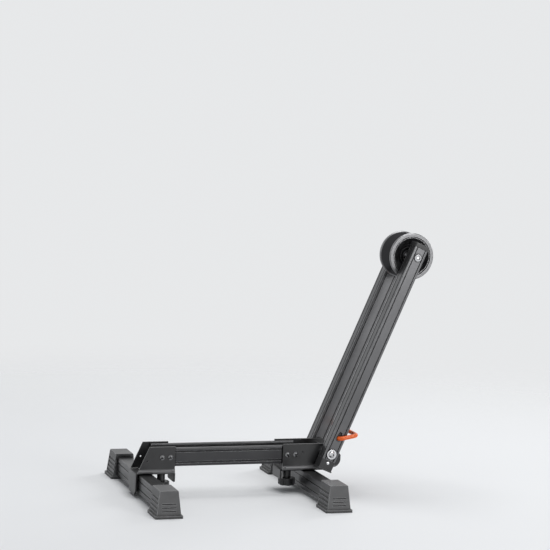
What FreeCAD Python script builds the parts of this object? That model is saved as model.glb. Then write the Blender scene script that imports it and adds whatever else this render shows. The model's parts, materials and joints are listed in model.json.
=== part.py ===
import FreeCAD, Part
import math
import os
import re
import Sketcher

# Floor stand that holds a bicycle upright by one wheel. Millimetres throughout.
# X runs along the wheel, from the entry side (-X) to the leaning arms (+X).
# Y runs across the stand, with the near side at -Y, and Z is up.
# The origin lies on the floor in the middle plane, halfway along the whole stand.
# Pieces are drawn from a point midway between the cross bars, then moved there.

os.makedirs("parts", exist_ok=True)
doc = FreeCAD.newDocument("parking_stand")

# Driving dimensions: name, value, what it is
SIZES = [
    # Cross bars, rails and arms
    ("bar_spacing", 300.0, "between the two cross bars, centre to centre"),
    ("bar_width", 26.0, "cross bar, along X"),
    ("bar_height", 33.0, "cross bar, along Z"),
    ("bar_wall", 2.2, "cross bar wall"),
    ("bar_low", 7.0, "underside of the cross bars above the floor"),
    ("bar_ridge", 8.5, "edge band of a cross bar's flank"),
    ("bar_groove", 2.2, "width of a cross bar's groove"),
    ("bar_groove_deep", 0.9, "depth of a groove"),
    ("corner_round", 1.0, "rounded long corners of the extrusions"),
    ("half_track", 185.0, "from the middle plane to a foot's outer end"),
    ("rail_height", 33.0, "rail, along Z"),
    ("rail_thick", 7.0, "rail, along Y"),
    ("rail_mid", 70.0, "rail centre line above the floor"),
    ("rail_overlap", 33.0, "length of rail inside each bracket"),
    ("rail_ridge", 5.5, "edge ridge of a rail's face"),
    ("rail_groove", 2.6, "width of a rail's groove"),
    ("tyre_gap", 32.0, "clear width between the rails"),
    # Brackets of bent sheet
    ("sheet", 2.5, "thickness of the bracket sheet"),
    ("bend_in", 3.0, "inner radius of the bends"),
    ("flap_bend", 2.3, "outer radius where a flap turns down"),
    ("bracket_gap", 198.0, "between the inner ends of the brackets"),
    ("bracket_top", 89.0, "top edge of the side plates"),
    ("entry_length", 69.5, "entry bracket, inner end to skirt"),
    ("entry_lead", 2.5, "side plates behind the skirt's face"),
    ("entry_slant", 21.0, "how far the plates' entry edge leans back"),
    ("skirt_low", 4.2, "lower edge of the skirt above the floor"),
    ("skirt_corner", 9.0, "cut corners of the skirt"),
    ("lip_deep", 15.0, "turned-down lip at the inner end"),
    ("lip_side", 5.0, "lip's ends inside the side plates"),
    ("rear_plate", 28.0, "pivot plate beyond the pivot"),
    ("rear_floor", 12.0, "floor beyond the pivot"),
    ("rear_slant_x", 18.0, "slanted rear edge, along X"),
    ("rear_slant_z", 22.0, "slanted rear edge, along Z"),
    ("rear_round", 14.0, "rounded lower corner of the pivot plates"),
    ("drain_hole", 3.0, "small hole in each side plate"),
    ("drain_x", 49.5, "small hole from the entry bracket's inner end"),
    ("drain_z", 63.7, "small hole's height"),
    ("mark_x", 37.3, "small hole from the pivot bracket's inner end"),
    ("mark_z", 73.8, "its height"),
    # Fasteners
    ("screw_first", 8.5, "first rail screw from the bracket's inner end"),
    ("screw_pitch", 15.0, "between the two rail screws"),
    ("screw_thread", 5.0, "rail screw diameter"),
    ("screw_head", 9.2, "rail screw head diameter"),
    ("screw_head_high", 2.6, "rail screw head height"),
    ("screw_key", 3.0, "across the flats of the rail screw's key"),
    ("head_taper", 0.68, "top of a button head as a share of its foot"),
    ("key_floor", 0.45, "socket's floor as a share of the head's height"),
    ("bolt_thread", 6.0, "cross bar bolt diameter"),
    ("bolt_head", 11.0, "cross bar bolt head diameter"),
    ("bolt_head_high", 3.4, "cross bar bolt head height"),
    ("bolt_pitch", 30.0, "between the two bolts of a cross bar"),
    ("bolt_key", 4.0, "across the flats of the bolt's key"),
    ("nut_flats", 10.0, "across the flats of the cross bar nut"),
    ("nut_high", 4.6, "cross bar nut height"),
    ("hole_spare", 0.25, "radial clearance of a screw's hole"),
    ("fit", 0.05, "radial clearance of a running fit"),
    ("air", 0.3, "gap between parts that move past each other"),
    # Rubber feet
    ("foot_length", 54.0, "foot, along the cross bar"),
    ("foot_height", 46.0, "foot height"),
    ("foot_base_wide", 48.0, "base flange, along X"),
    ("foot_base_high", 5.0, "base flange height"),
    ("foot_low_wide", 42.0, "body just above the flange, along X"),
    ("foot_top_wide", 32.0, "top face, along X"),
    ("foot_end_in", 2.5, "body behind the flange at the outer end"),
    ("foot_end_lean", 4.0, "further lean of the outer end up to the top"),
    ("foot_end_wall", 10.0, "from the foot's outer end to the bar's end"),
    ("foot_round", 2.5, "rounded corners of the base flange"),
    ("foot_bevel", 1.4, "bevelled edges of the top face"),
    ("foot_slot_wide", 25.0, "slot in the outer end"),
    ("foot_slot_high", 1.7, "slot height"),
    ("foot_slot_deep", 1.8, "slot depth"),
    ("foot_slot_low", 12.0, "lowest slot's centre"),
    ("foot_slot_pitch", 6.0, "between slots"),
    ("foot_slots", 3.0, "number of slots in an outer end"),
    ("foot_rib_low", 8.6, "lowest side groove's lower edge"),
    ("foot_rib_pitch", 7.2, "between side grooves"),
    ("foot_rib_high", 4.4, "side groove height"),
    ("foot_rib_deep", 1.5, "side groove depth"),
    ("foot_ribs", 4.0, "number of side grooves in a flank"),
    ("foot_spare", 0.1, "clearance round the bar in a foot"),
    # Tyre pads, their pins and knobs
    ("pad_length", 34.0, "tyre pad, along X"),
    ("pad_width", 45.0, "tyre pad, along Y"),
    ("pad_top", 52.6, "top of the pad's cheeks"),
    ("pad_dip", 4.6, "depth of the pad's groove"),
    ("pad_mouth", 30.0, "width of the pad's groove"),
    ("pad_flat", 9.0, "flat bottom of the pad's groove"),
    ("pad_chamfer", 3.2, "bevel over the bends"),
    ("pad_nose", 4.0, "rounded inner end of the pad"),
    ("pin_thick", 3.2, "pad pin diameter"),
    ("pin_in", 4.0, "pad pin from the bracket's inner end"),
    ("pin_z", 47.2, "pad pin's height"),
    ("pin_proud", 0.8, "pad pin beyond the side plates"),
    ("knob_in", 17.5, "knob's axis from the bracket's inner end"),
    ("knob_wide", 30.0, "knob diameter"),
    ("knob_high", 13.0, "knob height"),
    ("knob_lobes", 6.0, "number of finger hollows"),
    ("knob_hollow", 8.0, "diameter of a finger hollow"),
    ("knob_hollow_out", 16.8, "a hollow's axis from the knob's axis"),
    ("knob_bevel", 1.5, "bevelled lower edge of the knob"),
    ("knob_collar", 14.0, "neck under the washer"),
    ("knob_collar_high", 15.0, "neck height"),
    ("stud_thick", 6.0, "knob stud diameter"),
    ("stud_into_pad", 5.0, "stud's length above the floor plate"),
    ("washer_thick", 1.2, "knob washer thickness"),
    ("washer_wide", 16.0, "knob washer diameter"),
    # Pivot
    ("pivot_x", 180.5, "arm pivot, along X"),
    ("pivot_z", 74.0, "arm pivot above the floor"),
    ("lean", 22.7, "arm's lean from upright, degrees"),
    ("fold", 111.4, "how far the arm folds back, degrees"),
    ("arm_gap", 4.0, "between a side plate and its arm"),
    ("pivot_thread", 8.0, "pivot and axle bolt diameter"),
    ("stub_flange", 26.0, "pivot stub's flange diameter"),
    ("stub_tenon", 14.0, "stub's tenon diameter, in the plate"),
    ("stub_journal", 20.0, "stub's journal diameter, in the arm"),
    ("stub_short", 10.0, "from the stub's end to the arm's outer face"),
    ("cam_core", 8.0, "radius of the cam where the arm is free"),
    ("cam_spare", 6.0, "spare angle at the cam's free end, degrees"),
    ("spacer_wide", 15.0, "spacer tube's diameter, between the plates"),
    ("pivot_head", 11.0, "pivot bolt's domed head diameter"),
    ("pivot_head_high", 5.0, "pivot bolt's head height"),
    ("pivot_washer", 17.6, "pivot washer diameter"),
    ("pivot_washer_thick", 1.6, "pivot washer thickness"),
    ("pivot_key", 5.0, "across the flats of the pivot bolt's key"),
    ("pivot_nut_flats", 13.0, "across the flats of the pivot nut"),
    ("pivot_nut_high", 7.5, "pivot nut height"),
    ("stop_out", 17.0, "stop pin from the pivot"),
    ("stop_thick", 6.0, "stop pin diameter"),
    ("stop_proud", 1.2, "stop pin beyond the arm's face"),
    # Arms
    ("arm_width", 26.0, "arm, across its face"),
    ("arm_depth", 24.0, "arm, along Y"),
    ("arm_wall", 2.0, "arm wall"),
    ("arm_ridge", 4.0, "edge ridge of the arm's face"),
    ("arm_groove", 1.6, "width of the arm's groove"),
    ("arm_groove_deep", 0.8, "depth of the arm's groove"),
    ("arm_below", 11.5, "arm tube below the pivot"),
    ("arm_reach", 381.5, "from the pivot to the roller's axle"),
    ("arm_above", 17.0, "arm tube beyond the axle"),
    ("cap_high", 8.5, "top cap's height"),
    ("cap_over", 0.4, "cap's rim beyond the tube"),
    ("cap_plug", 10.0, "plug of a cap inside the tube"),
    ("end_high", 17.0, "end block below the tube"),
    ("end_rim", 2.5, "rim at the end block's foot"),
    ("end_rim_over", 0.9, "rim beyond the end block"),
    ("end_round", 1.5, "rounded edges of the caps and blocks"),
    # Roller
    ("roller_rim", 42.0, "roller's outer radius"),
    ("roller_half", 26.5, "half of the roller's width"),
    ("roller_ring", 6.4, "width of the outer ring"),
    ("roller_line", 0.9, "groove line inside the ring"),
    ("roller_line_deep", 1.4, "depth of that line"),
    ("roller_lip", 1.8, "lip inside the line"),
    ("roller_throat", 21.0, "half of the groove's width at the rim"),
    ("roller_root", 8.0, "half of the groove's width at the hub"),
    ("roller_hub", 16.0, "hub's radius"),
    ("roller_web", 4.2, "flange's thickness at the hub"),
    ("roller_edge", 1.4, "bevel of the rim's inner edge"),
    ("bearing_wide", 22.0, "bearing's outer diameter"),
    ("bearing_high", 7.0, "bearing's width"),
    ("bearing_shoulder", 9.2, "radius of the hub's inner shoulder"),
    ("sleeve_wide", 12.0, "axle sleeve diameter"),
    ("axle_head", 12.6, "axle bolt's head diameter"),
    ("axle_head_high", 4.2, "axle bolt's head height"),
    # Release handle and latch
    ("handle_rod", 7.5, "handle rod diameter"),
    ("handle_up", 31.0, "handle's ends from the pivot, along the arm"),
    ("handle_reach", 33.0, "from the arm's centre line to the grip"),
    ("handle_lift", 33.0, "handle's rise from square to the arm, degrees"),
    ("handle_out", 2.0, "between the arm's face and the handle"),
    ("handle_bend", 7.0, "handle's bend radius"),
    ("handle_travel", 8.0, "how far the handle slides"),
    ("slot_spare", 0.4, "clearance at the handle's slot"),
    ("latch_high", 20.0, "latch block, along the arm"),
    ("tongue_wide", 6.0, "latch tongue, across the arm"),
    ("tongue_deep", 9.0, "latch tongue, along Y"),
    ("spring_wide", 14.0, "latch spring diameter"),
    ("spring_wire", 1.5, "latch spring's wall"),
    ("spring_long", 25.0, "latch spring's length at rest"),
    ("spring_stop_high", 6.0, "stop plug above the spring"),
]

sheet = doc.addObject("Spreadsheet::Sheet", "sizes")
for row, (name, value, note) in enumerate(SIZES, start=1):
    sheet.set("A%d" % row, name)
    sheet.set("B%d" % row, str(value))
    sheet.set("C%d" % row, note)
    sheet.setAlias("B%d" % row, name)
doc.recompute()

NAMES = sorted((name for name, value, note in SIZES), key=len, reverse=True)
WORD = re.compile(r"(?<!\.)\b(" + "|".join(NAMES) + r")\b")

# Lengths that several pieces share, worked out from the sheet
PLATE_OUT = "(tyre_gap / 2 + rail_thick + sheet)"
PLATE_IN = "(tyre_gap / 2 + rail_thick)"
BAR_TOP = "(bar_low + bar_height)"
FLOOR_TOP = "(bar_low + bar_height + sheet)"
ARM_IN = "(tyre_gap / 2 + rail_thick + sheet + arm_gap)"
ARM_OUT = "(tyre_gap / 2 + rail_thick + sheet + arm_gap + arm_depth)"
ARM_MID = "(tyre_gap / 2 + rail_thick + sheet + arm_gap + arm_depth / 2)"
STUB_END = "(tyre_gap / 2 + rail_thick + sheet + arm_gap + arm_depth - stub_short)"
INNER_END = "(bracket_gap / 2)"
AXLE_X = "(pivot_x + arm_reach * sin(lean))"
AXLE_Z = "(pivot_z + arm_reach * cos(lean))"
MIDDLE_X = "((%s + roller_rim - bar_spacing / 2 - foot_base_wide / 2) / 2)" % AXLE_X


def bound(text):
    """Point each size named in an expression at its cell."""
    return WORD.sub(r"sizes.\1", text)


def size(name):
    """The number held by one cell."""
    return float(sheet.get(name))


def sum_of(*texts):
    """Add expressions up."""
    return " + ".join("(%s)" % text for text in texts)


def flip(side, text):
    """An expression on the near (-1) or far (1) side."""
    return text if side > 0 else "-(%s)" % text


def bind(thing, **rules):
    """Bind properties of an object to the sheet, with __ for a dot."""
    for name, text in rules.items():
        thing.setExpression(name.replace("__", "."), bound(text))


def place(thing, x="0", y="0", z="0", axis=None, angle=None):
    """Bind an object's Placement to the sheet."""
    if axis is not None:
        thing.Placement = FreeCAD.Placement(FreeCAD.Vector(), FreeCAD.Rotation(axis, 1))
        bind(thing, Placement__Rotation__Angle=angle)
    bind(thing, Placement__Base__x=x, Placement__Base__y=y, Placement__Base__z=z)


AXIS_X = FreeCAD.Vector(1, 0, 0)
AXIS_Y = FreeCAD.Vector(0, 1, 0)
AXIS_Z = FreeCAD.Vector(0, 0, 1)

# Two numbers closer than SAME are taken as equal. ROUGH is the radius of a sketch's
# first rough ring, before its constraints shape it.
SAME = 0.01
ROUGH = 10.0


def new_body(label):
    body = doc.addObject("PartDesign::Body", label)
    body.Label = label
    return body


def new_sketch(body, plane, name):
    """A sketch on one of the body's own origin planes."""
    sketch = body.newObject("Sketcher::SketchObject", name)
    flat = [item for item in body.Origin.OriginFeatures if item.Role == plane][0]
    sketch.AttachmentSupport = (flat, [""])
    sketch.MapMode = "FlatFace"
    return sketch


def pin_down(sketch, geometry, place_on, x, y):
    """Hold a point of a sketch at two bound coordinates."""
    for kind, text in (("DistanceX", x), ("DistanceY", y)):
        index = sketch.addConstraint(
            Sketcher.Constraint(kind, -1, 1, geometry, place_on, 1.0))
        sketch.setExpression("Constraints[%d]" % index, bound(text))


def rough_ring(count):
    """Points where a sketch's lines start out, before its constraints move them."""
    turns = [2 * math.pi * number / count for number in range(count)]
    return [FreeCAD.Vector(ROUGH * math.cos(turn), ROUGH * math.sin(turn), 0) for turn in turns]


def add_loop(sketch, points):
    """A closed outline through points, each a pair of expressions."""
    count = len(points)
    first = sketch.GeometryCount
    ring = rough_ring(count)
    for number in range(count):
        sketch.addGeometry(Part.LineSegment(ring[number], ring[(number + 1) % count]))
    for number in range(count):
        following = first + (number + 1) % count
        sketch.addConstraint(Sketcher.Constraint("Coincident", first + number, 2, following, 1))
    for number, (x, y) in enumerate(points):
        pin_down(sketch, first + number, 1, x, y)


def add_circle(sketch, x, y, diameter):
    """A circle with a bound centre and diameter."""
    index = sketch.addGeometry(Part.Circle(FreeCAD.Vector(1, 1, 0), AXIS_Z, 1.0))
    pin_down(sketch, index, 3, x, y)
    rule = sketch.addConstraint(Sketcher.Constraint("Diameter", index, 2.0))
    sketch.setExpression("Constraints[%d]" % rule, bound(diameter))


def rectangle(low_x, low_y, high_x, high_y):
    return [(low_x, low_y), (high_x, low_y), (high_x, high_y), (low_x, high_y)]


def pad(body, sketch, length, both_ways=True, backwards=False):
    feature = body.newObject("PartDesign::Pad", "pad")
    feature.Profile = sketch
    feature.SideType = "Symmetric" if both_ways else "One side"
    feature.Reversed = backwards
    bind(feature, Length=length)
    doc.recompute()
    return feature


def cut(body, sketch, length=None, backwards=False):
    """Pocket right through both ways, or to a bound depth, and see that it cuts."""
    before = body.Shape.Volume
    feature = body.newObject("PartDesign::Pocket", "cut")
    feature.Profile = sketch
    if length is None:
        feature.Type = "ThroughAll"
        feature.SideType = "Symmetric"
    else:
        feature.Reversed = backwards
        bind(feature, Length=length)
    doc.recompute()
    if body.Shape.Volume > before - SAME:
        raise RuntimeError("a cut in %s removes nothing" % body.Label)
    return feature


def revolve(body, sketch):
    """Turn a profile once round the sketch's upright axis."""
    feature = body.newObject("PartDesign::Revolution", "turned")
    feature.Profile = sketch
    feature.ReferenceAxis = (sketch, ["V_Axis"])
    feature.Angle = 360
    doc.recompute()
    return feature


def edges_along(shape, axis, test):
    """Names of the straight edges along an axis whose two ends both pass a test."""
    names = []
    for number, edge in enumerate(shape.Edges, start=1):
        if edge.Curve.TypeId != "Part::GeomLine" or not near(abs(edge.tangentAt(0) * axis), 1):
            continue
        if all(test(vertex.Point) for vertex in edge.Vertexes):
            names.append("Edge%d" % number)
    return names


def round_edges(body, base, names, radius, kind="PartDesign::Fillet"):
    """Fillet or chamfer named edges of a feature."""
    if not names:
        raise RuntimeError("no edges to round on %s" % body.Label)
    feature = body.newObject(kind, "edge")
    feature.Base = (base, names)
    if kind == "PartDesign::Fillet":
        bind(feature, Radius=radius)
    else:
        bind(feature, Size=radius)
    doc.recompute()
    if feature.Shape.isNull():
        raise RuntimeError("an edge of %s can't be rounded" % body.Label)
    return feature


def near(value, target):
    return abs(value - target) < SAME


def cylinder(name, diameter, length, x="0", y="0", z="0", axis=None, angle="0"):
    """A plain cylinder that runs along +Z until it is turned."""
    item = doc.addObject("Part::Cylinder", name)
    bind(item, Radius="(%s) / 2" % diameter, Height=length)
    place(item, x, y, z, axis, angle)
    return item


def along_y(name, diameter, low, high, x="0", z="0"):
    """A cylinder along Y, from low to high."""
    length = "(%s) - (%s)" % (high, low)
    return cylinder(name, diameter, length, x, high, z, AXIS_X, "90")


def box(name, length, width, height, x="0", y="0", z="0"):
    item = doc.addObject("Part::Box", name)
    bind(item, Length=length, Width=width, Height=height)
    place(item, x, y, z)
    return item


def hexagon(name, flats, height, x="0", y="0", z="0", axis=None, angle="0"):
    """A six-sided prism along +Z, given across its flats."""
    item = doc.addObject("Part::Prism", name)
    item.Polygon = 6
    bind(item, Circumradius="(%s) / 2 / cos(30)" % flats, Height=height)
    place(item, x, y, z, axis, angle)
    return item


def joined(name, items):
    fuse = doc.addObject("Part::MultiFuse", name)
    fuse.Shapes = items
    return fuse


def less(name, base, tool):
    item = doc.addObject("Part::Cut", name)
    item.Base = base
    item.Tool = tool
    return item


def group(label, items):
    """Separate solids that share one node."""
    item = doc.addObject("Part::Compound", label)
    item.Label = label
    item.Links = items
    return item


def grooved_outline(half_x, half_y, ridge, groove, deep, flanks_only=False):
    """Outline of an extrusion with two grooves in each face, or in its flanks alone."""
    points = []
    corners = [("-1", "-1", "1", "0"), ("1", "-1", "0", "1"),
               ("1", "1", "-1", "0"), ("-1", "1", "0", "-1")]
    for sign_x, sign_y, run_x, run_y in corners:
        span = half_x if run_x != "0" else half_y
        stations = [("0", "0"), (ridge, "0"), (ridge, deep),
                    (sum_of(ridge, groove), deep), (sum_of(ridge, groove), "0"),
                    ("2 * (%s) - (%s) - (%s)" % (span, ridge, groove), "0"),
                    ("2 * (%s) - (%s) - (%s)" % (span, ridge, groove), deep),
                    ("2 * (%s) - (%s)" % (span, ridge), deep),
                    ("2 * (%s) - (%s)" % (span, ridge), "0")]
        if flanks_only and run_x != "0":
            stations = stations[:1]
        for forward, inward in stations:
            x = "%s * (%s) + %s * (%s) - %s * (%s)" % (
                sign_x, half_x, run_x, forward, run_y, inward)
            y = "%s * (%s) + %s * (%s) + %s * (%s)" % (
                sign_y, half_y, run_y, forward, run_x, inward)
            points.append((x, y))
    return points


# Cross bars: hollow grooved extrusions that lie across the stand

def make_cross_bar(label, end):
    """end is -1 for the entry side and 1 for the arm side."""
    body = new_body(label)
    section = new_sketch(body, "XZ_Plane", "section")
    add_loop(section, grooved_outline("bar_width / 2", "bar_height / 2", "bar_ridge",
                                      "bar_groove", "bar_groove_deep", flanks_only=True))
    half_x = "(bar_width / 2 - bar_wall)"
    half_z = "(bar_height / 2 - bar_wall)"
    add_loop(section, rectangle("-%s" % half_x, "-%s" % half_z, half_x, half_z))
    length = "2 * (half_track - foot_end_wall)"
    base = pad(body, section, length)
    half_wide = size("bar_width") / 2
    half_tall = size("bar_height") / 2
    corners = edges_along(
        base.Shape, AXIS_Y, lambda p: near(abs(p.x), half_wide) and near(abs(p.z), half_tall))
    round_edges(body, base, corners, "corner_round")
    holes = new_sketch(body, "XY_Plane", "bolt_holes")
    for side in ("-", ""):
        add_circle(holes, "0", side + "bolt_pitch / 2", "bolt_thread + 2 * hole_spare")
    cut(body, holes)
    place(body, flip(end, "bar_spacing / 2"), "0", "bar_low + bar_height / 2")
    return body


# Rails: flat grooved bars, one each side of the tyre

def make_rail(label, side):
    body = new_body(label)
    section = new_sketch(body, "YZ_Plane", "section")
    half = "rail_height / 2"
    thick = "rail_thick / 2"
    deep = "bar_groove_deep"
    stations = [("-(%s)" % half, "0"),
                ("-(%s) + rail_ridge" % half, "0"),
                ("-(%s) + rail_ridge" % half, deep),
                ("-(%s) + rail_ridge + rail_groove" % half, deep),
                ("-(%s) + rail_ridge + rail_groove" % half, "0"),
                ("%s - rail_ridge - rail_groove" % half, "0"),
                ("%s - rail_ridge - rail_groove" % half, deep),
                ("%s - rail_ridge" % half, deep),
                ("%s - rail_ridge" % half, "0"),
                (half, "0")]
    points = [("%s - (%s)" % (thick, inward), along) for along, inward in stations]
    points += [("-(%s) + (%s)" % (thick, inward), along) for along, inward in reversed(stations)]
    add_loop(section, points)
    base = pad(body, section, "bracket_gap + 2 * rail_overlap")
    half_thick = size("rail_thick") / 2
    half_tall = size("rail_height") / 2
    corners = edges_along(
        base.Shape, AXIS_X, lambda p: near(abs(p.y), half_thick) and near(abs(p.z), half_tall))
    round_edges(body, base, corners, "corner_round")
    holes = new_sketch(body, "XZ_Plane", "screw_holes")
    for end in (-1, 1):
        for number in range(2):
            x = "%s + screw_first + %d * screw_pitch" % (INNER_END, number)
            add_circle(holes, flip(end, x), "0", "screw_thread")
    cut(body, holes)
    place(body, "0", flip(side, "tyre_gap / 2 + rail_thick / 2"), "rail_mid")
    return body


# Brackets: channels of bent sheet that sit on the cross bars

def channel(body, low_x, high_x):
    """The U of a bracket: floor and side plates, with rounded bends."""
    section = new_sketch(body, "YZ_Plane", "section")
    out, inside = PLATE_OUT, PLATE_IN
    add_loop(section, [("-" + out, BAR_TOP), (out, BAR_TOP), (out, "bracket_top"),
                       (inside, "bracket_top"), (inside, FLOOR_TOP), ("-" + inside, FLOOR_TOP),
                       ("-" + inside, "bracket_top"), ("-" + out, "bracket_top")])
    base = body.newObject("PartDesign::Pad", "channel")
    base.Profile = section
    base.SideType = "Two sides"
    bind(base, Length=high_x, Length2="-(%s)" % low_x)
    doc.recompute()
    out_y = size("tyre_gap") / 2 + size("rail_thick") + size("sheet")
    in_y = out_y - size("sheet")
    under = size("bar_low") + size("bar_height")
    bends = edges_along(
        base.Shape, AXIS_X, lambda p: near(abs(p.y), out_y) and near(p.z, under))
    outer = round_edges(body, base, bends, "bend_in + sheet")
    creases = edges_along(
        outer.Shape, AXIS_X, lambda p: near(abs(p.y), in_y) and near(p.z, under + size("sheet")))
    return round_edges(body, outer, creases, "bend_in")


def turned_down(body, outer_x, inner_x, low_z, half_y, bend_at):
    """A flap of the floor bent down, between two X stations."""
    flap = new_sketch(body, "XZ_Plane", "flap")
    add_loop(flap, rectangle(outer_x, low_z, inner_x, FLOOR_TOP))
    base = pad(body, flap, "2 * (%s)" % half_y)
    top = size("bar_low") + size("bar_height") + size("sheet")
    names = edges_along(base.Shape, AXIS_Y, lambda p: near(p.x, bend_at) and near(p.z, top))
    return round_edges(body, base, names, "flap_bend")


def plate_holes(body, end, spots):
    """Holes through both side plates: pairs of distance from the inner end, height, size."""
    sketch = new_sketch(body, "XZ_Plane", "plate_holes")
    for along, height, diameter in spots:
        add_circle(sketch, flip(end, sum_of(INNER_END, along)), height, diameter)
    cut(body, sketch)


def floor_holes(body, end):
    sketch = new_sketch(body, "XY_Plane", "floor_holes")
    for side in ("-", ""):
        add_circle(sketch, flip(end, "bar_spacing / 2"), side + "bolt_pitch / 2",
                   "bolt_thread + 2 * hole_spare")
    add_circle(sketch, flip(end, sum_of(INNER_END, "knob_in")), "0", "stud_thick + 4 * hole_spare")
    cut(body, sketch)


def rail_spots():
    clear = "screw_thread + 2 * hole_spare"
    return [("screw_first + %d * screw_pitch" % number, "rail_mid", clear)
            for number in range(2)]


def make_entry_bracket():
    body = new_body("entry_bracket")
    low_x = "-(bracket_gap / 2 + entry_length)"
    channel(body, low_x, "-" + INNER_END)
    slant = new_sketch(body, "XZ_Plane", "slant")
    above = "bracket_top + sheet"
    start = low_x + " + entry_lead"
    add_loop(slant, [(low_x + " - sheet", FLOOR_TOP), (start, FLOOR_TOP),
                     (start + " + entry_slant", "bracket_top"), (start + " + entry_slant", above),
                     (low_x + " - sheet", above)])
    cut(body, slant)
    inner_x = -size("bracket_gap") / 2
    turned_down(body, "-" + INNER_END, "sheet - " + INNER_END, BAR_TOP + " - lip_deep",
                PLATE_OUT + " - lip_side", inner_x + size("sheet"))
    skirt_x = inner_x - size("entry_length")
    skirt = turned_down(body, low_x, low_x + " + sheet", "skirt_low", PLATE_OUT, skirt_x)
    low = size("skirt_low")
    out_y = size("tyre_gap") / 2 + size("rail_thick") + size("sheet")
    corners = edges_along(
        skirt.Shape, AXIS_X, lambda p: near(abs(p.y), out_y) and near(p.z, low))
    round_edges(body, skirt, corners, "skirt_corner", "PartDesign::Chamfer")
    plate_holes(body, -1, rail_spots() + [
        ("pin_in", "pin_z", "pin_thick"), ("drain_x", "drain_z", "drain_hole")])
    floor_holes(body, -1)
    return body


def make_pivot_bracket():
    """The arm side's bracket, with curved slots for the stop pin."""
    body = new_body("pivot_channel")
    high_x = "(pivot_x + rear_plate)"
    channel(body, INNER_END, high_x)
    inner_x = size("bracket_gap") / 2
    turned_down(body, INNER_END + " - sheet", INNER_END, BAR_TOP + " - lip_deep",
                PLATE_OUT + " - lip_side", inner_x - size("sheet"))
    slant = new_sketch(body, "XZ_Plane", "slant")
    beyond = high_x + " + sheet"
    above = "bracket_top + sheet"
    add_loop(slant, [(high_x, "bracket_top - rear_slant_z"), (beyond, "bracket_top - rear_slant_z"),
                     (beyond, above), (high_x + " - rear_slant_x", above),
                     (high_x + " - rear_slant_x", "bracket_top")])
    cut(body, slant)
    rear = new_sketch(body, "XY_Plane", "rear_floor")
    half = PLATE_OUT + " + sheet"
    add_loop(rear, rectangle("pivot_x + rear_floor", "-(%s)" % half, beyond, half))
    cut(body, rear, FLOOR_TOP + " + bend_in", backwards=True)
    back = size("pivot_x") + size("rear_plate")
    low = size("bar_low") + size("bar_height") + size("sheet") + size("bend_in")
    corners = edges_along(body.Shape, AXIS_Y, lambda p: near(p.x, back) and near(p.z, low))
    round_edges(body, body.Tip, corners, "rear_round")
    plate_holes(body, 1, rail_spots() + [
        ("pin_in", "pin_z", "pin_thick"), ("mark_x", "mark_z", "drain_hole"),
        ("pivot_x - bracket_gap / 2", "pivot_z", "stub_tenon")])
    floor_holes(body, 1)
    slot = stop_slot_tool()
    bracket = less("pivot_bracket", body, slot)
    bracket.Label = "pivot_bracket"
    return bracket


def stop_slot_tool():
    """A curved slot round the pivot, as wide as the stop pin and its clearance."""
    width = "(stop_thick + 2 * air)"
    reach = PLATE_OUT + " + sheet"
    start = "180 + lean"
    sector = cylinder("slot_sector", "2 * stop_out + %s" % width, "2 * (%s)" % reach)
    bind(sector, Angle="fold")
    inner = cylinder("slot_inner", "2 * stop_out - %s" % width, "2 * (%s)" % reach)
    ring = less("slot_ring", sector, inner)
    ends = []
    for name, turn in (("slot_start", "0"), ("slot_end", "fold")):
        x = "stop_out * cos(%s)" % turn
        y = "stop_out * sin(%s)" % turn
        ends.append(cylinder(name, width, "2 * (%s)" % reach, x, y))
    tool = joined("slot_tool", [ring] + ends)
    turn = FreeCAD.Rotation(AXIS_X, 90)
    tool.Placement = FreeCAD.Placement(FreeCAD.Vector(), turn)
    holder = group("slot_holder", [tool])
    place(holder, "pivot_x", reach, "pivot_z", AXIS_Y, "90 + lean")
    return holder


# Fasteners

def button_screw(name, head, head_high, thread, length, key):
    """A screw whose head stands on z = 0 and whose thread runs down."""
    cap = doc.addObject("Part::Cone", name + "_head")
    bind(cap, Radius1="%s / 2" % head, Radius2="%s * head_taper / 2" % head, Height=head_high)
    shank = cylinder(name + "_shank", thread, length, z="-(%s)" % length)
    solid = joined(name + "_solid", [cap, shank])
    socket = hexagon(name + "_socket", key, head_high, z="%s * key_floor" % head_high)
    return less(name, solid, socket)


def copies(label, source, spots):
    """The same solid again at bound places, each turned about one axis."""
    items = []
    for number, (x, y, z, axis, angle) in enumerate(spots, start=1):
        item = doc.addObject("App::Link", "%s_%d" % (label, number))
        item.LinkedObject = source
        items.append(item)
        item.Placement = FreeCAD.Placement(FreeCAD.Vector(), FreeCAD.Rotation(axis, angle))
        bind(item, Placement__Base__x=x, Placement__Base__y=y, Placement__Base__z=z)
    return group(label, items)


def make_rail_screws():
    screw = button_screw("rail_screw", "screw_head", "screw_head_high", "screw_thread",
                         "sheet + rail_thick", "screw_key")
    spots = []
    for end in (-1, 1):
        for side, angle in ((-1, 90), (1, -90)):
            for number in range(2):
                x = "%s + screw_first + %d * screw_pitch" % (INNER_END, number)
                spots.append((flip(end, x), flip(side, PLATE_OUT), "rail_mid", AXIS_X, angle))
    return copies("rail_screws", screw, spots)


def make_bar_bolts():
    bolt = button_screw("bar_bolt", "bolt_head", "bolt_head_high", "bolt_thread",
                        "sheet + bar_height + nut_high", "bolt_key")
    spots = []
    for end in (-1, 1):
        for side in (-1, 1):
            spots.append((flip(end, "bar_spacing / 2"), flip(side, "bolt_pitch / 2"),
                          FLOOR_TOP, AXIS_Z, 0))
    return copies("cross_bar_bolts", bolt, spots)


def make_bar_nuts():
    blank = hexagon("bar_nut_blank", "nut_flats", "nut_high")
    hole = cylinder("bar_nut_hole", "bolt_thread", "nut_high")
    nut = less("bar_nut", blank, hole)
    spots = []
    for end in (-1, 1):
        for side in (-1, 1):
            spots.append((flip(end, "bar_spacing / 2"), flip(side, "bolt_pitch / 2"),
                          "bar_low - nut_high", AXIS_Z, 0))
    return copies("cross_bar_nuts", nut, spots)


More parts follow.
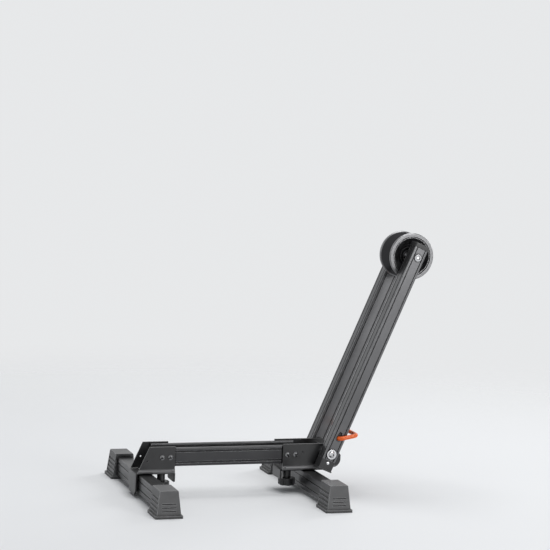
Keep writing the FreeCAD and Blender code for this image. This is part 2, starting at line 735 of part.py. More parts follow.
# Rubber feet: ribbed caps over the ends of the cross bars

def make_foot(label, end, side):
    body = new_body(label + "_shell")
    base_sketch = new_sketch(body, "XY_Plane", "base")
    add_loop(base_sketch, rectangle("-foot_base_wide / 2", "0", "foot_base_wide / 2",
                                    "foot_length"))
    flange = pad(body, base_sketch, "foot_base_high", both_ways=False)
    upright = edges_along(flange.Shape, AXIS_Z, lambda p: True)
    round_edges(body, flange, upright, "foot_round")
    low = new_sketch(body, "XY_Plane", "low")
    low.AttachmentOffset = FreeCAD.Placement(FreeCAD.Vector(0, 0, 1), FreeCAD.Rotation())
    bind(low, AttachmentOffset__Base__z="foot_base_high")
    add_loop(low, rectangle("-foot_low_wide / 2", "foot_end_in", "foot_low_wide / 2",
                            "foot_length"))
    high = new_sketch(body, "XY_Plane", "high")
    high.AttachmentOffset = FreeCAD.Placement(FreeCAD.Vector(0, 0, 1), FreeCAD.Rotation())
    bind(high, AttachmentOffset__Base__z="foot_height")
    add_loop(high, rectangle("-foot_top_wide / 2", "foot_end_in + foot_end_lean",
                             "foot_top_wide / 2", "foot_length"))
    loft = body.newObject("PartDesign::AdditiveLoft", "taper")
    loft.Profile = low
    loft.Sections = [high]
    loft.Ruled = True
    doc.recompute()
    top = size("foot_height")
    rim = edges_along(loft.Shape, AXIS_Y, lambda p: near(p.z, top))
    rim += edges_along(loft.Shape, AXIS_X, lambda p: near(p.z, top) and p.y < top / 2)
    round_edges(body, loft, rim, "foot_bevel", "PartDesign::Chamfer")
    side_grooves(body)
    tools = [box(label + "_bar", "bar_width + 2 * foot_spare", "foot_length",
                 "bar_height + 2 * foot_spare", "-(bar_width / 2 + foot_spare)",
                 "foot_end_wall", "bar_low - foot_spare")]
    for number in range(round(size("foot_slots"))):
        height = "foot_slot_low + %d * foot_slot_pitch" % number
        tools.append(box("%s_slot_%d" % (label, number), "foot_slot_wide",
                         "foot_end_in + foot_end_lean + foot_slot_deep", "foot_slot_high",
                         "-foot_slot_wide / 2", "0", height + " - foot_slot_high / 2"))
        bind(tools[-1], Width="foot_end_in + foot_slot_deep + foot_end_lean * (%s) / foot_height"
             % height)
    foot = less(label, body, joined(label + "_tools", tools))
    foot.Label = label
    place(foot, flip(end, "bar_spacing / 2"), flip(side, "half_track"), "0",
          AXIS_Z, "0" if side < 0 else "180")
    return foot


def side_grooves(body):
    """Lengthwise grooves up both flanks, which leave the ribs between them."""
    sketch = new_sketch(body, "XZ_Plane", "flank_grooves")
    lean = "((foot_low_wide - foot_top_wide) / 2 / (foot_height - foot_base_high))"
    for number in range(round(size("foot_ribs"))):
        low = "(foot_rib_low + %d * foot_rib_pitch)" % number
        high = "(foot_rib_low + %d * foot_rib_pitch + foot_rib_high)" % number
        flank = "(foot_low_wide / 2 - (%s - foot_base_high) * %s)"
        outer_low = flank % (low, lean)
        outer_high = flank % (high, lean)
        for sign in ("", "-"):
            add_loop(sketch, [("%s(%s + foot_rib_deep)" % (sign, outer_low), low),
                              ("%s(%s - foot_rib_deep)" % (sign, outer_low), low),
                              ("%s(%s)" % (sign, outer_high), high),
                              ("%s(%s + foot_rib_deep)" % (sign, outer_high), high)])
    cut(body, sketch)


# Tyre pads, clamped by knobs from below

def make_pad(label, end):
    body = new_body(label)
    section = new_sketch(body, "YZ_Plane", "section")
    half = "pad_width / 2"
    low = FLOOR_TOP
    add_loop(section, [("-(%s) + pad_chamfer" % half, low), ("%s - pad_chamfer" % half, low),
                       (half, low + " + pad_chamfer"), (half, "pad_top"),
                       ("pad_mouth / 2", "pad_top"), ("pad_flat / 2", "pad_top - pad_dip"),
                       ("-pad_flat / 2", "pad_top - pad_dip"), ("-pad_mouth / 2", "pad_top"),
                       ("-(%s)" % half, "pad_top"), ("-(%s)" % half, low + " + pad_chamfer")])
    base = pad(body, section, "pad_length")
    nose_x = -end * size("pad_length") / 2
    top = size("pad_top")
    nose = edges_along(base.Shape, AXIS_Y, lambda p: near(p.x, nose_x) and near(p.z, top))
    round_edges(body, base, nose, "pad_nose / 2", "PartDesign::Chamfer")
    pins = new_sketch(body, "XZ_Plane", "pin_hole")
    add_circle(pins, flip(end, "pin_in - pad_length / 2"), "pin_z", "pin_thick")
    cut(body, pins)
    stud = new_sketch(body, "XY_Plane", "stud_hole")
    add_circle(stud, flip(end, "knob_in - pad_length / 2"), "0", "stud_thick + 2 * fit")
    cut(body, stud)
    place(body, flip(end, sum_of(INNER_END, "pad_length / 2")))
    return body


def make_pad_pins():
    pins = []
    for end, name in ((-1, "front"), (1, "rear")):
        reach = PLATE_OUT + " + pin_proud"
        pins.append(along_y("pin_" + name, "pin_thick", "-(%s)" % reach, reach,
                            flip(end, sum_of(INNER_END, "pin_in")), "pin_z"))
    return group("pad_pins", pins)


def make_knob(label, end):
    """A knob with finger hollows, with its top face at z = 0."""
    body = new_body(label)
    disc = new_sketch(body, "XY_Plane", "disc")
    add_circle(disc, "0", "0", "knob_wide")
    base = pad(body, disc, "knob_high", both_ways=False, backwards=True)
    hollow = new_sketch(body, "XY_Plane", "hollow")
    add_circle(hollow, "knob_hollow_out", "0", "knob_hollow")
    first = cut(body, hollow)
    ring = body.newObject("PartDesign::PolarPattern", "hollows")
    ring.Originals = [first]
    ring.Axis = (hollow, ["N_Axis"])
    ring.Angle = 360
    bind(ring, Occurrences="knob_lobes")
    body.Tip = ring
    doc.recompute()
    low = -size("knob_high")
    rims = [number for number, edge in enumerate(ring.Shape.Edges, start=1)
            if near(edge.BoundBox.ZMin, low) and near(edge.BoundBox.ZMax, low)]
    round_edges(body, ring, ["Edge%d" % number for number in rims], "knob_bevel",
                "PartDesign::Chamfer")
    collar = new_sketch(body, "XY_Plane", "collar")
    add_circle(collar, "0", "0", "knob_collar")
    pad(body, collar, "knob_collar_high", both_ways=False)
    bore = new_sketch(body, "XY_Plane", "bore")
    add_circle(bore, "0", "0", "stud_thick")
    cut(body, bore)
    place(body, flip(end, sum_of(INNER_END, "knob_in")), "0", KNOB_TOP)
    return body


KNOB_TOP = "(bar_low + bar_height - washer_thick - air - knob_collar_high)"


def make_stud(label, end):
    low = KNOB_TOP + " - knob_high"
    stud = cylinder(label, "stud_thick", "%s + stud_into_pad - (%s)" % (FLOOR_TOP, low),
                    flip(end, sum_of(INNER_END, "knob_in")), "0", low)
    stud.Label = label
    return stud


def make_knob_washers():
    items = []
    for end, name in ((-1, "front"), (1, "rear")):
        x = flip(end, sum_of(INNER_END, "knob_in"))
        z = BAR_TOP + " - washer_thick"
        disc = cylinder("washer_disc_" + name, "washer_wide", "washer_thick", x, "0", z)
        hole = cylinder("washer_hole_" + name, "stud_thick + 2 * hole_spare", "washer_thick",
                        x, "0", z)
        items.append(less("washer_" + name, disc, hole))
    return group("knob_washers", items)


# Pivot: stubs on the side plates carry the arms, and a bolt goes through

def make_stub(label, side):
    """Tenon, flange, journal and the latch's cam, along Y from the plate outwards."""
    def part_of(name, diameter, low, high):
        spans = [flip(side, low), flip(side, high)]
        if side < 0:
            spans.reverse()
        return along_y("%s_%s" % (label, name), diameter, spans[0], spans[1])
    tenon = part_of("tenon", "stub_tenon", PLATE_IN, PLATE_OUT)
    flange = part_of("flange", "stub_flange", PLATE_OUT, ARM_IN + " - air / 2")
    journal = part_of("journal", "stub_journal", PLATE_OUT, ARM_IN + " + arm_wall + air")
    core = part_of("core", "2 * cam_core", PLATE_OUT, STUB_END)
    shoulder = part_of("shoulder", "stub_journal", PLATE_OUT, STUB_END)
    half_angle = "(asin((tongue_wide / 2 + air) / cam_core) / 1 deg)"
    bind(shoulder, Angle="360 - fold - 2 * %s - cam_spare" % half_angle)
    shoulder_holder = group(label + "_cam", [shoulder])
    place(shoulder_holder, "0", "0", "0", AXIS_Y,
          "270 + lean - fold - %s - cam_spare" % half_angle)
    solid = joined(label + "_solid", [tenon, flange, journal, core, shoulder_holder])
    hole = part_of("hole", "pivot_thread + 2 * fit", PLATE_IN, STUB_END)
    stub = less(label, solid, hole)
    stub.Label = label
    place(stub, "pivot_x", "0", "pivot_z")
    return stub


def make_pivot_spacer():
    tube = along_y("spacer_tube", "spacer_wide", "-" + PLATE_IN, PLATE_IN, "pivot_x", "pivot_z")
    hole = along_y("spacer_hole", "pivot_thread + 2 * hole_spare", "-" + PLATE_IN, PLATE_IN,
                   "pivot_x", "pivot_z")
    spacer = less("pivot_spacer", tube, hole)
    spacer.Label = "pivot_spacer"
    return spacer


def make_pivot_bolt():
    head_at = "-(%s + pivot_washer_thick)" % ARM_OUT
    shank = along_y("pivot_shank", "pivot_thread", head_at,
                    "%s + pivot_washer_thick + pivot_nut_high" % ARM_OUT)
    head = along_y("pivot_dome", "pivot_head", head_at + " - pivot_head_high", head_at)
    solid = joined("pivot_solid", [shank, head])
    socket = hexagon("pivot_socket", "pivot_key", "pivot_head_high / 2", "0",
                     head_at + " - pivot_head_high / 2", "0", AXIS_X, "90")
    bolt = less("pivot_bolt", solid, socket)
    bolt.Label = "pivot_bolt"
    place(bolt, "pivot_x", "0", "pivot_z")
    return bolt


def make_pivot_washers():
    items = []
    for side, name in ((-1, "near"), (1, "far")):
        faces = [flip(side, ARM_OUT), flip(side, ARM_OUT + " + pivot_washer_thick")]
        if side < 0:
            faces.reverse()
        disc = along_y("pivot_disc_" + name, "pivot_washer", faces[0], faces[1],
                       "pivot_x", "pivot_z")
        hole = along_y("pivot_eye_" + name, "pivot_thread", faces[0], faces[1],
                       "pivot_x", "pivot_z")
        items.append(less("pivot_washer_" + name, disc, hole))
    return group("pivot_washers", items)


def make_nut(label, start, x, z):
    """A nut on the far side, on a bolt along Y."""
    blank = hexagon(label + "_blank", "pivot_nut_flats", "pivot_nut_high", "0",
                    start + " + pivot_nut_high", "0", AXIS_X, "90")
    hole = along_y(label + "_hole", "pivot_thread", start, start + " + pivot_nut_high")
    nut = less(label, blank, hole)
    nut.Label = label
    place(nut, x, "0", z)
    return nut


def make_stop_pin():
    reach = ARM_OUT + " + stop_proud"
    pin = along_y("stop_pin", "stop_thick", "-(%s)" % reach, reach,
                  "pivot_x - stop_out * sin(lean)", "pivot_z - stop_out * cos(lean)")
    pin.Label = "stop_pin"
    return pin


# Arms: hollow grooved extrusions, modelled upright with the pivot at the origin

def stand_arm(thing, side):
    place(thing, "pivot_x", flip(side, ARM_MID), "pivot_z", AXIS_Y, "lean")


def make_arm(label, side):
    body = new_body(label)
    section = new_sketch(body, "XY_Plane", "section")
    add_loop(section, grooved_outline("arm_width / 2", "arm_depth / 2",
                                      "arm_ridge", "arm_groove", "arm_groove_deep"))
    half_x = "(arm_width / 2 - arm_wall)"
    half_y = "(arm_depth / 2 - arm_wall)"
    add_loop(section, rectangle("-%s" % half_x, "-%s" % half_y, half_x, half_y))
    base = body.newObject("PartDesign::Pad", "tube")
    base.Profile = section
    base.SideType = "Two sides"
    bind(base, Length="arm_reach + arm_above", Length2="arm_below")
    doc.recompute()
    half_wide = size("arm_width") / 2
    half_deep = size("arm_depth") / 2
    corners = edges_along(
        base.Shape, AXIS_Z, lambda p: near(abs(p.x), half_wide) and near(abs(p.y), half_deep))
    round_edges(body, base, corners, "corner_round")
    through = new_sketch(body, "XZ_Plane", "bolt_holes")
    add_circle(through, "0", "arm_reach", "pivot_thread")
    add_circle(through, "0", "0", "pivot_thread")
    cut(body, through)
    # A sketch on this plane faces -Y, so an unreversed pocket goes towards +Y.
    journal = new_sketch(body, "XZ_Plane", "journal_hole")
    add_circle(journal, "0", "0", "stub_journal + 2 * fit")
    cut(body, journal, "arm_depth", backwards=(side > 0))
    ends = new_sketch(body, "XZ_Plane", "slot_ends")
    slot = "handle_rod + 2 * slot_spare"
    add_circle(ends, "0", "handle_up", slot)
    cut(body, ends, "arm_depth", backwards=(side < 0))
    upper = new_sketch(body, "XZ_Plane", "slot_top")
    add_circle(upper, "0", "handle_up + handle_travel", slot)
    cut(body, upper, "arm_depth", backwards=(side < 0))
    middle = new_sketch(body, "XZ_Plane", "slot_middle")
    half = "(handle_rod / 2 + slot_spare)"
    add_loop(middle, rectangle("-" + half, "handle_up", half, "handle_up + handle_travel"))
    cut(body, middle, "arm_depth", backwards=(side < 0))
    stand_arm(body, side)
    return body


def capped_block(label, side, face_low, face_high, plug_low, plug_high, over):
    """A block the size of the arm with a plug that goes into the tube."""
    wide = "(arm_width + 2 * (%s))" % over
    deep = "(arm_depth + 2 * (%s))" % over
    block = box(label + "_block", wide, deep, "(%s) - (%s)" % (face_high, face_low),
                "-%s / 2" % wide, "-%s / 2" % deep, face_low)
    rounded = doc.addObject("Part::Fillet", label + "_rounded")
    doc.recompute()
    rounded.Base = block
    keep = size("end_round")
    upright = []
    for number, edge in enumerate(block.Shape.Edges, start=1):
        if near(abs(edge.tangentAt(0).z), 1):
            upright.append((number, keep, keep))
    rounded.Edges = upright
    in_wide = "(arm_width - 2 * arm_wall - 2 * foot_spare)"
    in_deep = "(arm_depth - 2 * arm_wall - 2 * foot_spare)"
    plug = box(label + "_plug", in_wide, in_deep, "(%s) - (%s)" % (plug_high, plug_low),
               "-%s / 2" % in_wide, "-%s / 2" % in_deep, plug_low)
    return joined(label + "_shape", [rounded, plug])


def make_arm_cap(label, side):
    top = "(arm_reach + arm_above)"
    shape = capped_block(label, side, top, top + " + cap_high", top + " - cap_plug", top,
                         "cap_over")
    shape.Label = label
    stand_arm(shape, side)
    return shape


def make_arm_end(label, side):
    """End block below the tube, with a rim at its foot and the stop pin's hole."""
    low = "-(arm_below + end_high)"
    block = capped_block(label, side, low, "-arm_below", "-arm_below - end_high / 2",
                         "-arm_below", "0")
    wide = "(arm_width + 2 * end_rim_over)"
    deep = "(arm_depth + 2 * end_rim_over)"
    rim = box(label + "_rim", wide, deep, "end_rim", "-%s / 2" % wide, "-%s / 2" % deep,
              low + " - end_rim")
    solid = joined(label + "_solid", [block, rim])
    hole = along_y(label + "_hole", "stop_thick", "-arm_depth", "arm_depth", "0", "-stop_out")
    end = less(label, solid, hole)
    end.Label = label
    stand_arm(end, side)
    return end


# Roller: a hub with two dished flanges that the tyre rests between

def make_flange(label, side):
    body = new_body(label)
    profile = new_sketch(body, "XY_Plane", "profile")
    ring_in = "(roller_rim - roller_ring)"
    line_in = "(roller_rim - roller_ring - roller_line)"
    lip_in = "(roller_rim - roller_ring - roller_line - roller_lip)"
    points = [("roller_hub", "roller_root"),
              ("roller_rim - roller_edge", "roller_throat"),
              ("roller_rim", "roller_throat + roller_edge"),
              ("roller_rim", "roller_half - roller_edge"),
              ("roller_rim - roller_edge", "roller_half"),
              (ring_in, "roller_half"),
              (ring_in, "roller_half - roller_line_deep"),
              (line_in, "roller_half - roller_line_deep"),
              (line_in, "roller_half - roller_line_deep / 2"),
              (lip_in, "roller_half - roller_line_deep / 2"),
              ("roller_hub + roller_web", "roller_root + roller_web"),
              ("roller_hub", "roller_root + roller_web")]
    add_loop(profile, [(radius, flip(side, height)) for radius, height in points])
    revolve(body, profile)
    place(body, AXLE_X, "0", AXLE_Z)
    return body


def make_hub():
    body = new_body("roller_hub")
    profile = new_sketch(body, "XY_Plane", "profile")
    half = "(roller_root + roller_web)"
    seat = "bearing_wide / 2"
    step = "(roller_root + roller_web - bearing_high)"
    add_loop(profile, [("roller_hub", "-" + half), ("roller_hub", half), (seat, half),
                       (seat, step), ("bearing_shoulder", step), ("bearing_shoulder", "-" + step),
                       (seat, "-" + step), (seat, "-" + half)])
    revolve(body, profile)
    place(body, AXLE_X, "0", AXLE_Z)
    return body


def make_bearings():
    items = []
    half = "(roller_root + roller_web)"
    for side, name in ((-1, "near"), (1, "far")):
        faces = [flip(side, half + " - bearing_high"), flip(side, half)]
        if side < 0:
            faces.reverse()
        race = along_y("bearing_race_" + name, "bearing_wide", faces[0], faces[1], AXLE_X, AXLE_Z)
        hole = along_y("bearing_hole_" + name, "pivot_thread + 2 * fit", faces[0], faces[1],
                       AXLE_X, AXLE_Z)
        items.append(less("bearing_" + name, race, hole))
    return group("roller_bearings", items)


def make_sleeves():
    items = []
    for side, name in ((-1, "near"), (1, "far")):
        faces = [flip(side, "roller_root + roller_web + air"), flip(side, ARM_IN)]
        if side < 0:
            faces.reverse()
        tube = along_y("sleeve_tube_" + name, "sleeve_wide", faces[0], faces[1], AXLE_X, AXLE_Z)
        hole = along_y("sleeve_hole_" + name, "pivot_thread", faces[0], faces[1], AXLE_X, AXLE_Z)
        items.append(less("sleeve_" + name, tube, hole))
    return group("axle_sleeves", items)


def make_axle_bolt():
    shank = along_y("axle_shank", "pivot_thread", "-" + ARM_OUT, ARM_OUT + " + pivot_nut_high")
    head = along_y("axle_dome", "axle_head", "-(%s + axle_head_high)" % ARM_OUT, "-" + ARM_OUT)
    solid = joined("axle_solid", [shank, head])
    socket = hexagon("axle_socket", "pivot_key", "axle_head_high / 2", "0",
                     "-(%s + axle_head_high / 2)" % ARM_OUT, "0", AXIS_X, "90")
    bolt = less("axle_bolt", solid, socket)
    bolt.Label = "axle_bolt"
    place(bolt, AXLE_X, "0", AXLE_Z)
    return bolt


# Release handle: a bent rod that slides in the arms and lifts the latches

def left_bend(run, radius):
    """A quarter circle that turns left from the end of a straight run."""
    along = run.EndPoint - run.StartPoint
    centre = run.EndPoint + AXIS_Z.cross(along).normalize() * radius
    spoke = run.EndPoint - centre
    first = math.atan2(spoke.y, spoke.x)
    return Part.ArcOfCircle(Part.Circle(centre, AXIS_Z, radius), first, first + math.pi / 2)


def make_handle():
    """Round rod bent to a U, with its two ends turned in through the arms' slots."""
    body = new_body("release_handle")
    end_y = "(%s + arm_wall + handle_rod)" % ARM_IN
    leg_y = "(%s + handle_out + handle_rod / 2)" % ARM_OUT
    turn_y = "(%s - handle_bend)" % leg_y
    turn_x = "(handle_reach - handle_bend)"
    # Each pair is where a straight run starts and ends, round the U from the near side.
    runs = [(("0", "-" + end_y), ("0", "-" + turn_y)),
            (("handle_bend", "-" + leg_y), (turn_x, "-" + leg_y)),
            (("handle_reach", "-" + turn_y), ("handle_reach", turn_y)),
            ((turn_x, leg_y), ("handle_bend", leg_y)),
            (("0", turn_y), ("0", end_y))]
    path = new_sketch(body, "XY_Plane", "path")
    rough = rough_ring(2 * len(runs))
    for number, (start, finish) in enumerate(runs):
        path.addGeometry(Part.LineSegment(rough[2 * number], rough[2 * number + 1]))
        pin_down(path, number, 1, *start)
        pin_down(path, number, 2, *finish)
    doc.recompute()
    for number in range(len(runs) - 1):
        bend = path.addGeometry(left_bend(path.Geometry[number], size("handle_bend")))
        path.addConstraint(Sketcher.Constraint("Coincident", number, 2, bend, 1))
        path.addConstraint(Sketcher.Constraint("Coincident", number + 1, 1, bend, 2))
        rule = path.addConstraint(Sketcher.Constraint("Radius", bend, size("handle_bend")))
        path.setExpression("Constraints[%d]" % rule, bound("handle_bend"))
    ring = new_sketch(body, "XZ_Plane", "ring")
    ring.AttachmentOffset = FreeCAD.Placement(FreeCAD.Vector(0, 0, 1), FreeCAD.Rotation())
    bind(ring, AttachmentOffset__Base__z=end_y)
    add_circle(ring, "0", "0", "handle_rod")
    rod = body.newObject("PartDesign::AdditivePipe", "rod")
    rod.Profile = ring
    rod.Spine = path
    doc.recompute()
    # The rod's plane is square to the arm, tipped up, then leans with the arm.
    place(body, "pivot_x + handle_up * sin(lean)", "0", "pivot_z + handle_up * cos(lean)",
          AXIS_Y, "lean - handle_lift")
    return body


def make_latch(label, side):
    """Block that the handle's end sits in, with a tongue down to the cam."""
    wide = "(arm_width - 2 * arm_wall - 2 * slot_spare)"
    deep = "(arm_depth - 2 * arm_wall - 2 * slot_spare)"
    low = "(handle_up - latch_high / 2)"
    block = box(label + "_block", wide, deep, "latch_high", "-%s / 2" % wide,
                "-%s / 2" % deep, low)
    tip = "(cam_core + air)"
    # The tongue lies over the cam, on the arm's inner half.
    middle = flip(side, "-(arm_depth / 2) + arm_wall + 2 * air + tongue_deep / 2")
    tongue = box(label + "_tongue", "tongue_wide", "tongue_deep", "%s - %s" % (low, tip),
                 "-tongue_wide / 2", middle + " - tongue_deep / 2", tip)
    solid = joined(label + "_solid", [block, tongue])
    far_in = "-(arm_depth / 2) + arm_wall + handle_rod"
    faces = [flip(side, far_in), flip(side, "arm_depth")]
    if side < 0:
        faces.reverse()
    hole = along_y(label + "_hole", "handle_rod", faces[0], faces[1], "0", "handle_up")
    latch = less(label, solid, hole)
    latch.Label = label
    stand_arm(latch, side)
    return latch


def make_spring(label, side):
    low = "handle_up + latch_high / 2"
    outer = cylinder(label + "_outer", "spring_wide", "spring_long", z=low)
    inner = cylinder(label + "_inner", "spring_wide - 2 * spring_wire", "spring_long", z=low)
    spring = less(label, outer, inner)
    spring.Label = label
    stand_arm(spring, side)
    return spring


def make_spring_stop(label, side):
    wide = "(arm_width - 2 * arm_wall)"
    deep = "(arm_depth - 2 * arm_wall)"
    low = "handle_up + latch_high / 2 + spring_long"
    stop = box(label + "_box", wide, deep, "spring_stop_high", "-%s / 2" % wide,
               "-%s / 2" % deep, low)
    holder = joined(label, [stop, cylinder(label + "_boss", "spring_wide - 2 * spring_wire"
                                           " - 2 * air", "3 * spring_wire",
                                           z=low + " - 3 * spring_wire")])
    holder.Label = label
    stand_arm(holder, side)
    return holder


nodes = [
    make_cross_bar("cross_bar_front", -1),
    make_cross_bar("cross_bar_rear", 1),
    make_rail("rail_near", -1),
    make_rail("rail_far", 1),
    make_entry_bracket(),
    make_pivot_bracket(),
    make_rail_screws(),
    make_bar_bolts(),
    make_bar_nuts(),
    make_foot("foot_front_near", -1, -1),
    make_foot("foot_front_far", -1, 1),
    make_foot("foot_rear_near", 1, -1),
    make_foot("foot_rear_far", 1, 1),
    make_pad("tyre_pad_front", -1),
    make_pad("tyre_pad_rear", 1),
    make_pad_pins(),
    make_knob("pad_knob_front", -1),
    make_knob("pad_knob_rear", 1),
    make_stud("knob_stud_front", -1),
    make_stud("knob_stud_rear", 1),
    make_knob_washers(),
    make_stub("pivot_stub_near", -1),
    make_stub("pivot_stub_far", 1),
    make_pivot_spacer(),
    make_pivot_bolt(),
    make_pivot_washers(),
    make_nut("pivot_nut", ARM_OUT + " + pivot_washer_thick", "pivot_x", "pivot_z"),
    make_stop_pin(),
    make_arm("arm_near", -1),
    make_arm("arm_far", 1),
    make_arm_cap("arm_cap_near", -1),
    make_arm_cap("arm_cap_far", 1),
    make_arm_end("arm_end_near", -1),
    make_arm_end("arm_end_far", 1),
    make_flange("roller_flange_near", -1),
    make_flange("roller_flange_far", 1),
    make_hub(),
    make_bearings(),
    make_sleeves(),
    make_axle_bolt(),
    make_nut("axle_nut", ARM_OUT, AXLE_X, AXLE_Z),
    make_handle(),
    make_latch("latch_near", -1),
    make_latch("latch_far", 1),
    make_spring("latch_spring_near", -1),
    make_spring("latch_spring_far", 1),
    make_spring_stop("spring_stop_near", -1),
    make_spring_stop("spring_stop_far", 1),
]
for node in nodes:
    drawn_at = [rule for where, rule in node.ExpressionEngine if where.endswith("Base.x")]
    bind(node, Placement__Base__x="(%s) - %s" % (drawn_at[0] if drawn_at else "0", MIDDLE_X))
doc.recompute()

for item in doc.Objects:
    if "Invalid" in item.State or "Error" in item.State:
        raise RuntimeError("%s failed: %s" % (item.Label, item.State))
for node in nodes:
    shape = node.Shape
    if shape.isNull() or not shape.isValid() or not shape.Solids:
        raise RuntimeError("%s has no valid solid" % node.Label)
    shape.exportStep(os.path.join("parts", node.Label + ".step"))
    edge = shape.BoundBox
    print("%-20s %2d solids %9.0f mm3  x %6.1f %6.1f  y %6.1f %6.1f  z %6.1f %6.1f" % (
        node.Label, len(shape.Solids), shape.Volume, edge.XMin, edge.XMax,
        edge.YMin, edge.YMax, edge.ZMin, edge.ZMax))
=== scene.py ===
import json
import math

import bmesh
import bpy
from mathutils import Matrix, Vector


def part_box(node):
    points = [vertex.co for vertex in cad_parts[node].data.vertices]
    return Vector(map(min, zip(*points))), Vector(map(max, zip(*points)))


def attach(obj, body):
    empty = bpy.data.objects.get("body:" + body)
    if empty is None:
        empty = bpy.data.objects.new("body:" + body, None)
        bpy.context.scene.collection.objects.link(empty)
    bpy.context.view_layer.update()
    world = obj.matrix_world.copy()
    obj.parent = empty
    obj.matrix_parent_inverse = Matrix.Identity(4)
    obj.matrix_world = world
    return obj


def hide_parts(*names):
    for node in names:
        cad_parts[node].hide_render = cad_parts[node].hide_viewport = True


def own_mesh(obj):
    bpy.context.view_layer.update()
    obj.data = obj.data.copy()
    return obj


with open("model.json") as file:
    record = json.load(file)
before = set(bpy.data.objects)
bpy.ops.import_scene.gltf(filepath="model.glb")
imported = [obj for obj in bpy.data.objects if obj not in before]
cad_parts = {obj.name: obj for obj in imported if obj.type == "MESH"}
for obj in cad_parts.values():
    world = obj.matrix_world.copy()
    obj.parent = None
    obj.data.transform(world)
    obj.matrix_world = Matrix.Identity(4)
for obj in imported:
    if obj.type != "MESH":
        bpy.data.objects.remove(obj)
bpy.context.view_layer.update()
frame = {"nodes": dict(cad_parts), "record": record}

# Sizes are in millimetres, measured from a point midway between the two cross bars.
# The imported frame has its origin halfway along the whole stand, which SHIFT allows for.
BAR_X = 150.0
REAR_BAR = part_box("cross_bar_rear")
SHIFT = BAR_X - 1000.0 * (REAR_BAR[0].x + REAR_BAR[1].x) / 2

LEAN = math.radians(22.7)
FOLD = math.radians(111.4)
PIVOT_X, PIVOT_Z = 180.5, 74.0
ARM_REACH, ARM_ABOVE, ARM_BELOW = 381.5, 17.0, 11.5
ARM_TIP = ARM_REACH + ARM_ABOVE
AXLE_X = PIVOT_X + ARM_REACH * math.sin(LEAN)
AXLE_Z = PIVOT_Z + ARM_REACH * math.cos(LEAN)
ARM_IN, ARM_OUT, ARM_MID = 29.5, 53.5, 41.5
PLATE_IN, PLATE_OUT, SHEET = 23.0, 25.5, 2.5
BAR_LOW, BAR_TOP, FLOOR_TOP, BRACKET_TOP = 7.0, 40.0, 42.5, 89.0
BAR_HALF_HEIGHT = 16.5
RAIL_MID_Z = 70.0
INNER_END = 99.0
FOOT_END, FOOT_TOP, FLANGE_TOP = 185.0, 46.0, 5.0
HANDLE_UP, HANDLE_TRAVEL = 31.0, 8.0
STOP_REACH = 17.0
SIDES = (("near", -1), ("far", 1))
ENDS = (("front", -1), ("rear", 1))

BODY_OF = {node: body for body, members in frame["record"]["behaviour"]["bodies"].items()
           for node in members}
SLOT_OF = {entry["node"]: entry["material_slot"] for entry in frame["record"]["subparts"]}
SLOT_FINISH = {"extrusion": "bar_black", "bracket_sheet": "bracket_powder",
               "steel": "bright_steel", "foot_rubber": "foot_black",
               "black_plastic": "cap_plastic", "roller_metal": "roller_black",
               "handle_paint": "orange_coat"}


def row(x, y, z):
    """A point of the drawing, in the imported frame's metres."""
    return Vector(((x - SHIFT) / 1000.0, y / 1000.0, z / 1000.0))


def on_arm(across, y, along_arm):
    """A point given across and along the arm from the pivot."""
    x = PIVOT_X + across * math.cos(LEAN) + along_arm * math.sin(LEAN)
    z = PIVOT_Z - across * math.sin(LEAN) + along_arm * math.cos(LEAN)
    return row(x, y, z)


def shown(name, data):
    """A new object in the scene that holds a mesh, a lamp or the camera."""
    thing = bpy.data.objects.new(name, data)
    bpy.context.scene.collection.objects.link(thing)
    return thing


# Nodes

def add_node(tree, kind, links=(), **settings):
    """A node with its settings and its inputs, which are sockets or plain values."""
    node = tree.nodes.new(kind)
    for key, value in settings.items():
        setattr(node, key, value)
    for key, value in dict(links).items():
        if isinstance(value, bpy.types.NodeSocket):
            tree.links.new(value, node.inputs[key])
        else:
            node.inputs[key].default_value = value
    return node


def sum_of(tree, kind, first, second=0.0):
    """One step of arithmetic on sockets or plain values."""
    return add_node(tree, "ShaderNodeMath", {0: first, 1: second}, operation=kind).outputs[0]


def half_of(tree, value):
    return sum_of(tree, "MULTIPLY", value, 0.5)


def length_of(tree, links):
    """The length of a vector of which some parts are given."""
    flat = add_node(tree, "ShaderNodeCombineXYZ", links)
    measure = add_node(tree, "ShaderNodeVectorMath", {0: flat.outputs[0]}, operation="LENGTH")
    return measure.outputs["Value"]


def remapped(tree, value, start, end, low=0.0, high=1.0, **settings):
    """A value that runs from low to high while the given one runs from start to end."""
    return add_node(tree, "ShaderNodeMapRange",
                    {"Value": value, "From Min": start, "From Max": end,
                     "To Min": low, "To Max": high}, **settings).outputs["Result"]


def mixed(tree, share, colour, other, blend="MIX"):
    """A share of another colour laid over the first, or the two multiplied."""
    return add_node(tree, "ShaderNodeMix", {"Factor": share, 6: colour, 7: other},
                    data_type="RGBA", blend_type=blend).outputs[2]


# Camera and room

def set_camera():
    """The photograph's low three-quarter view, from the near entry corner."""
    yaw, pitch, roll = math.radians(18.7), math.radians(5.57), math.radians(2.38)
    away, aside, above = 3.187, 0.0445, 0.18645
    picture_width, focal_length = 550.0, 1800.0
    forward = Vector((math.sin(yaw) * math.cos(pitch), math.cos(yaw) * math.cos(pitch),
                      -math.sin(pitch)))
    level = Vector((math.cos(yaw), -math.sin(yaw), 0.0))
    rise = level.cross(forward)
    right = math.cos(roll) * level + math.sin(roll) * rise
    up = -math.sin(roll) * level + math.cos(roll) * rise
    centre = row(40.0, 0.0, 200.0) - forward * away + right * aside + up * above
    data = bpy.data.cameras.new("photo_camera")
    data.sensor_width = 36.0
    data.lens = focal_length / picture_width * data.sensor_width
    data.clip_end = 50.0
    camera = shown("photo_camera", data)
    turn = Matrix((right, up, -forward)).transposed().to_4x4()
    camera.matrix_world = Matrix.Translation(centre) @ turn
    bpy.context.scene.camera = camera


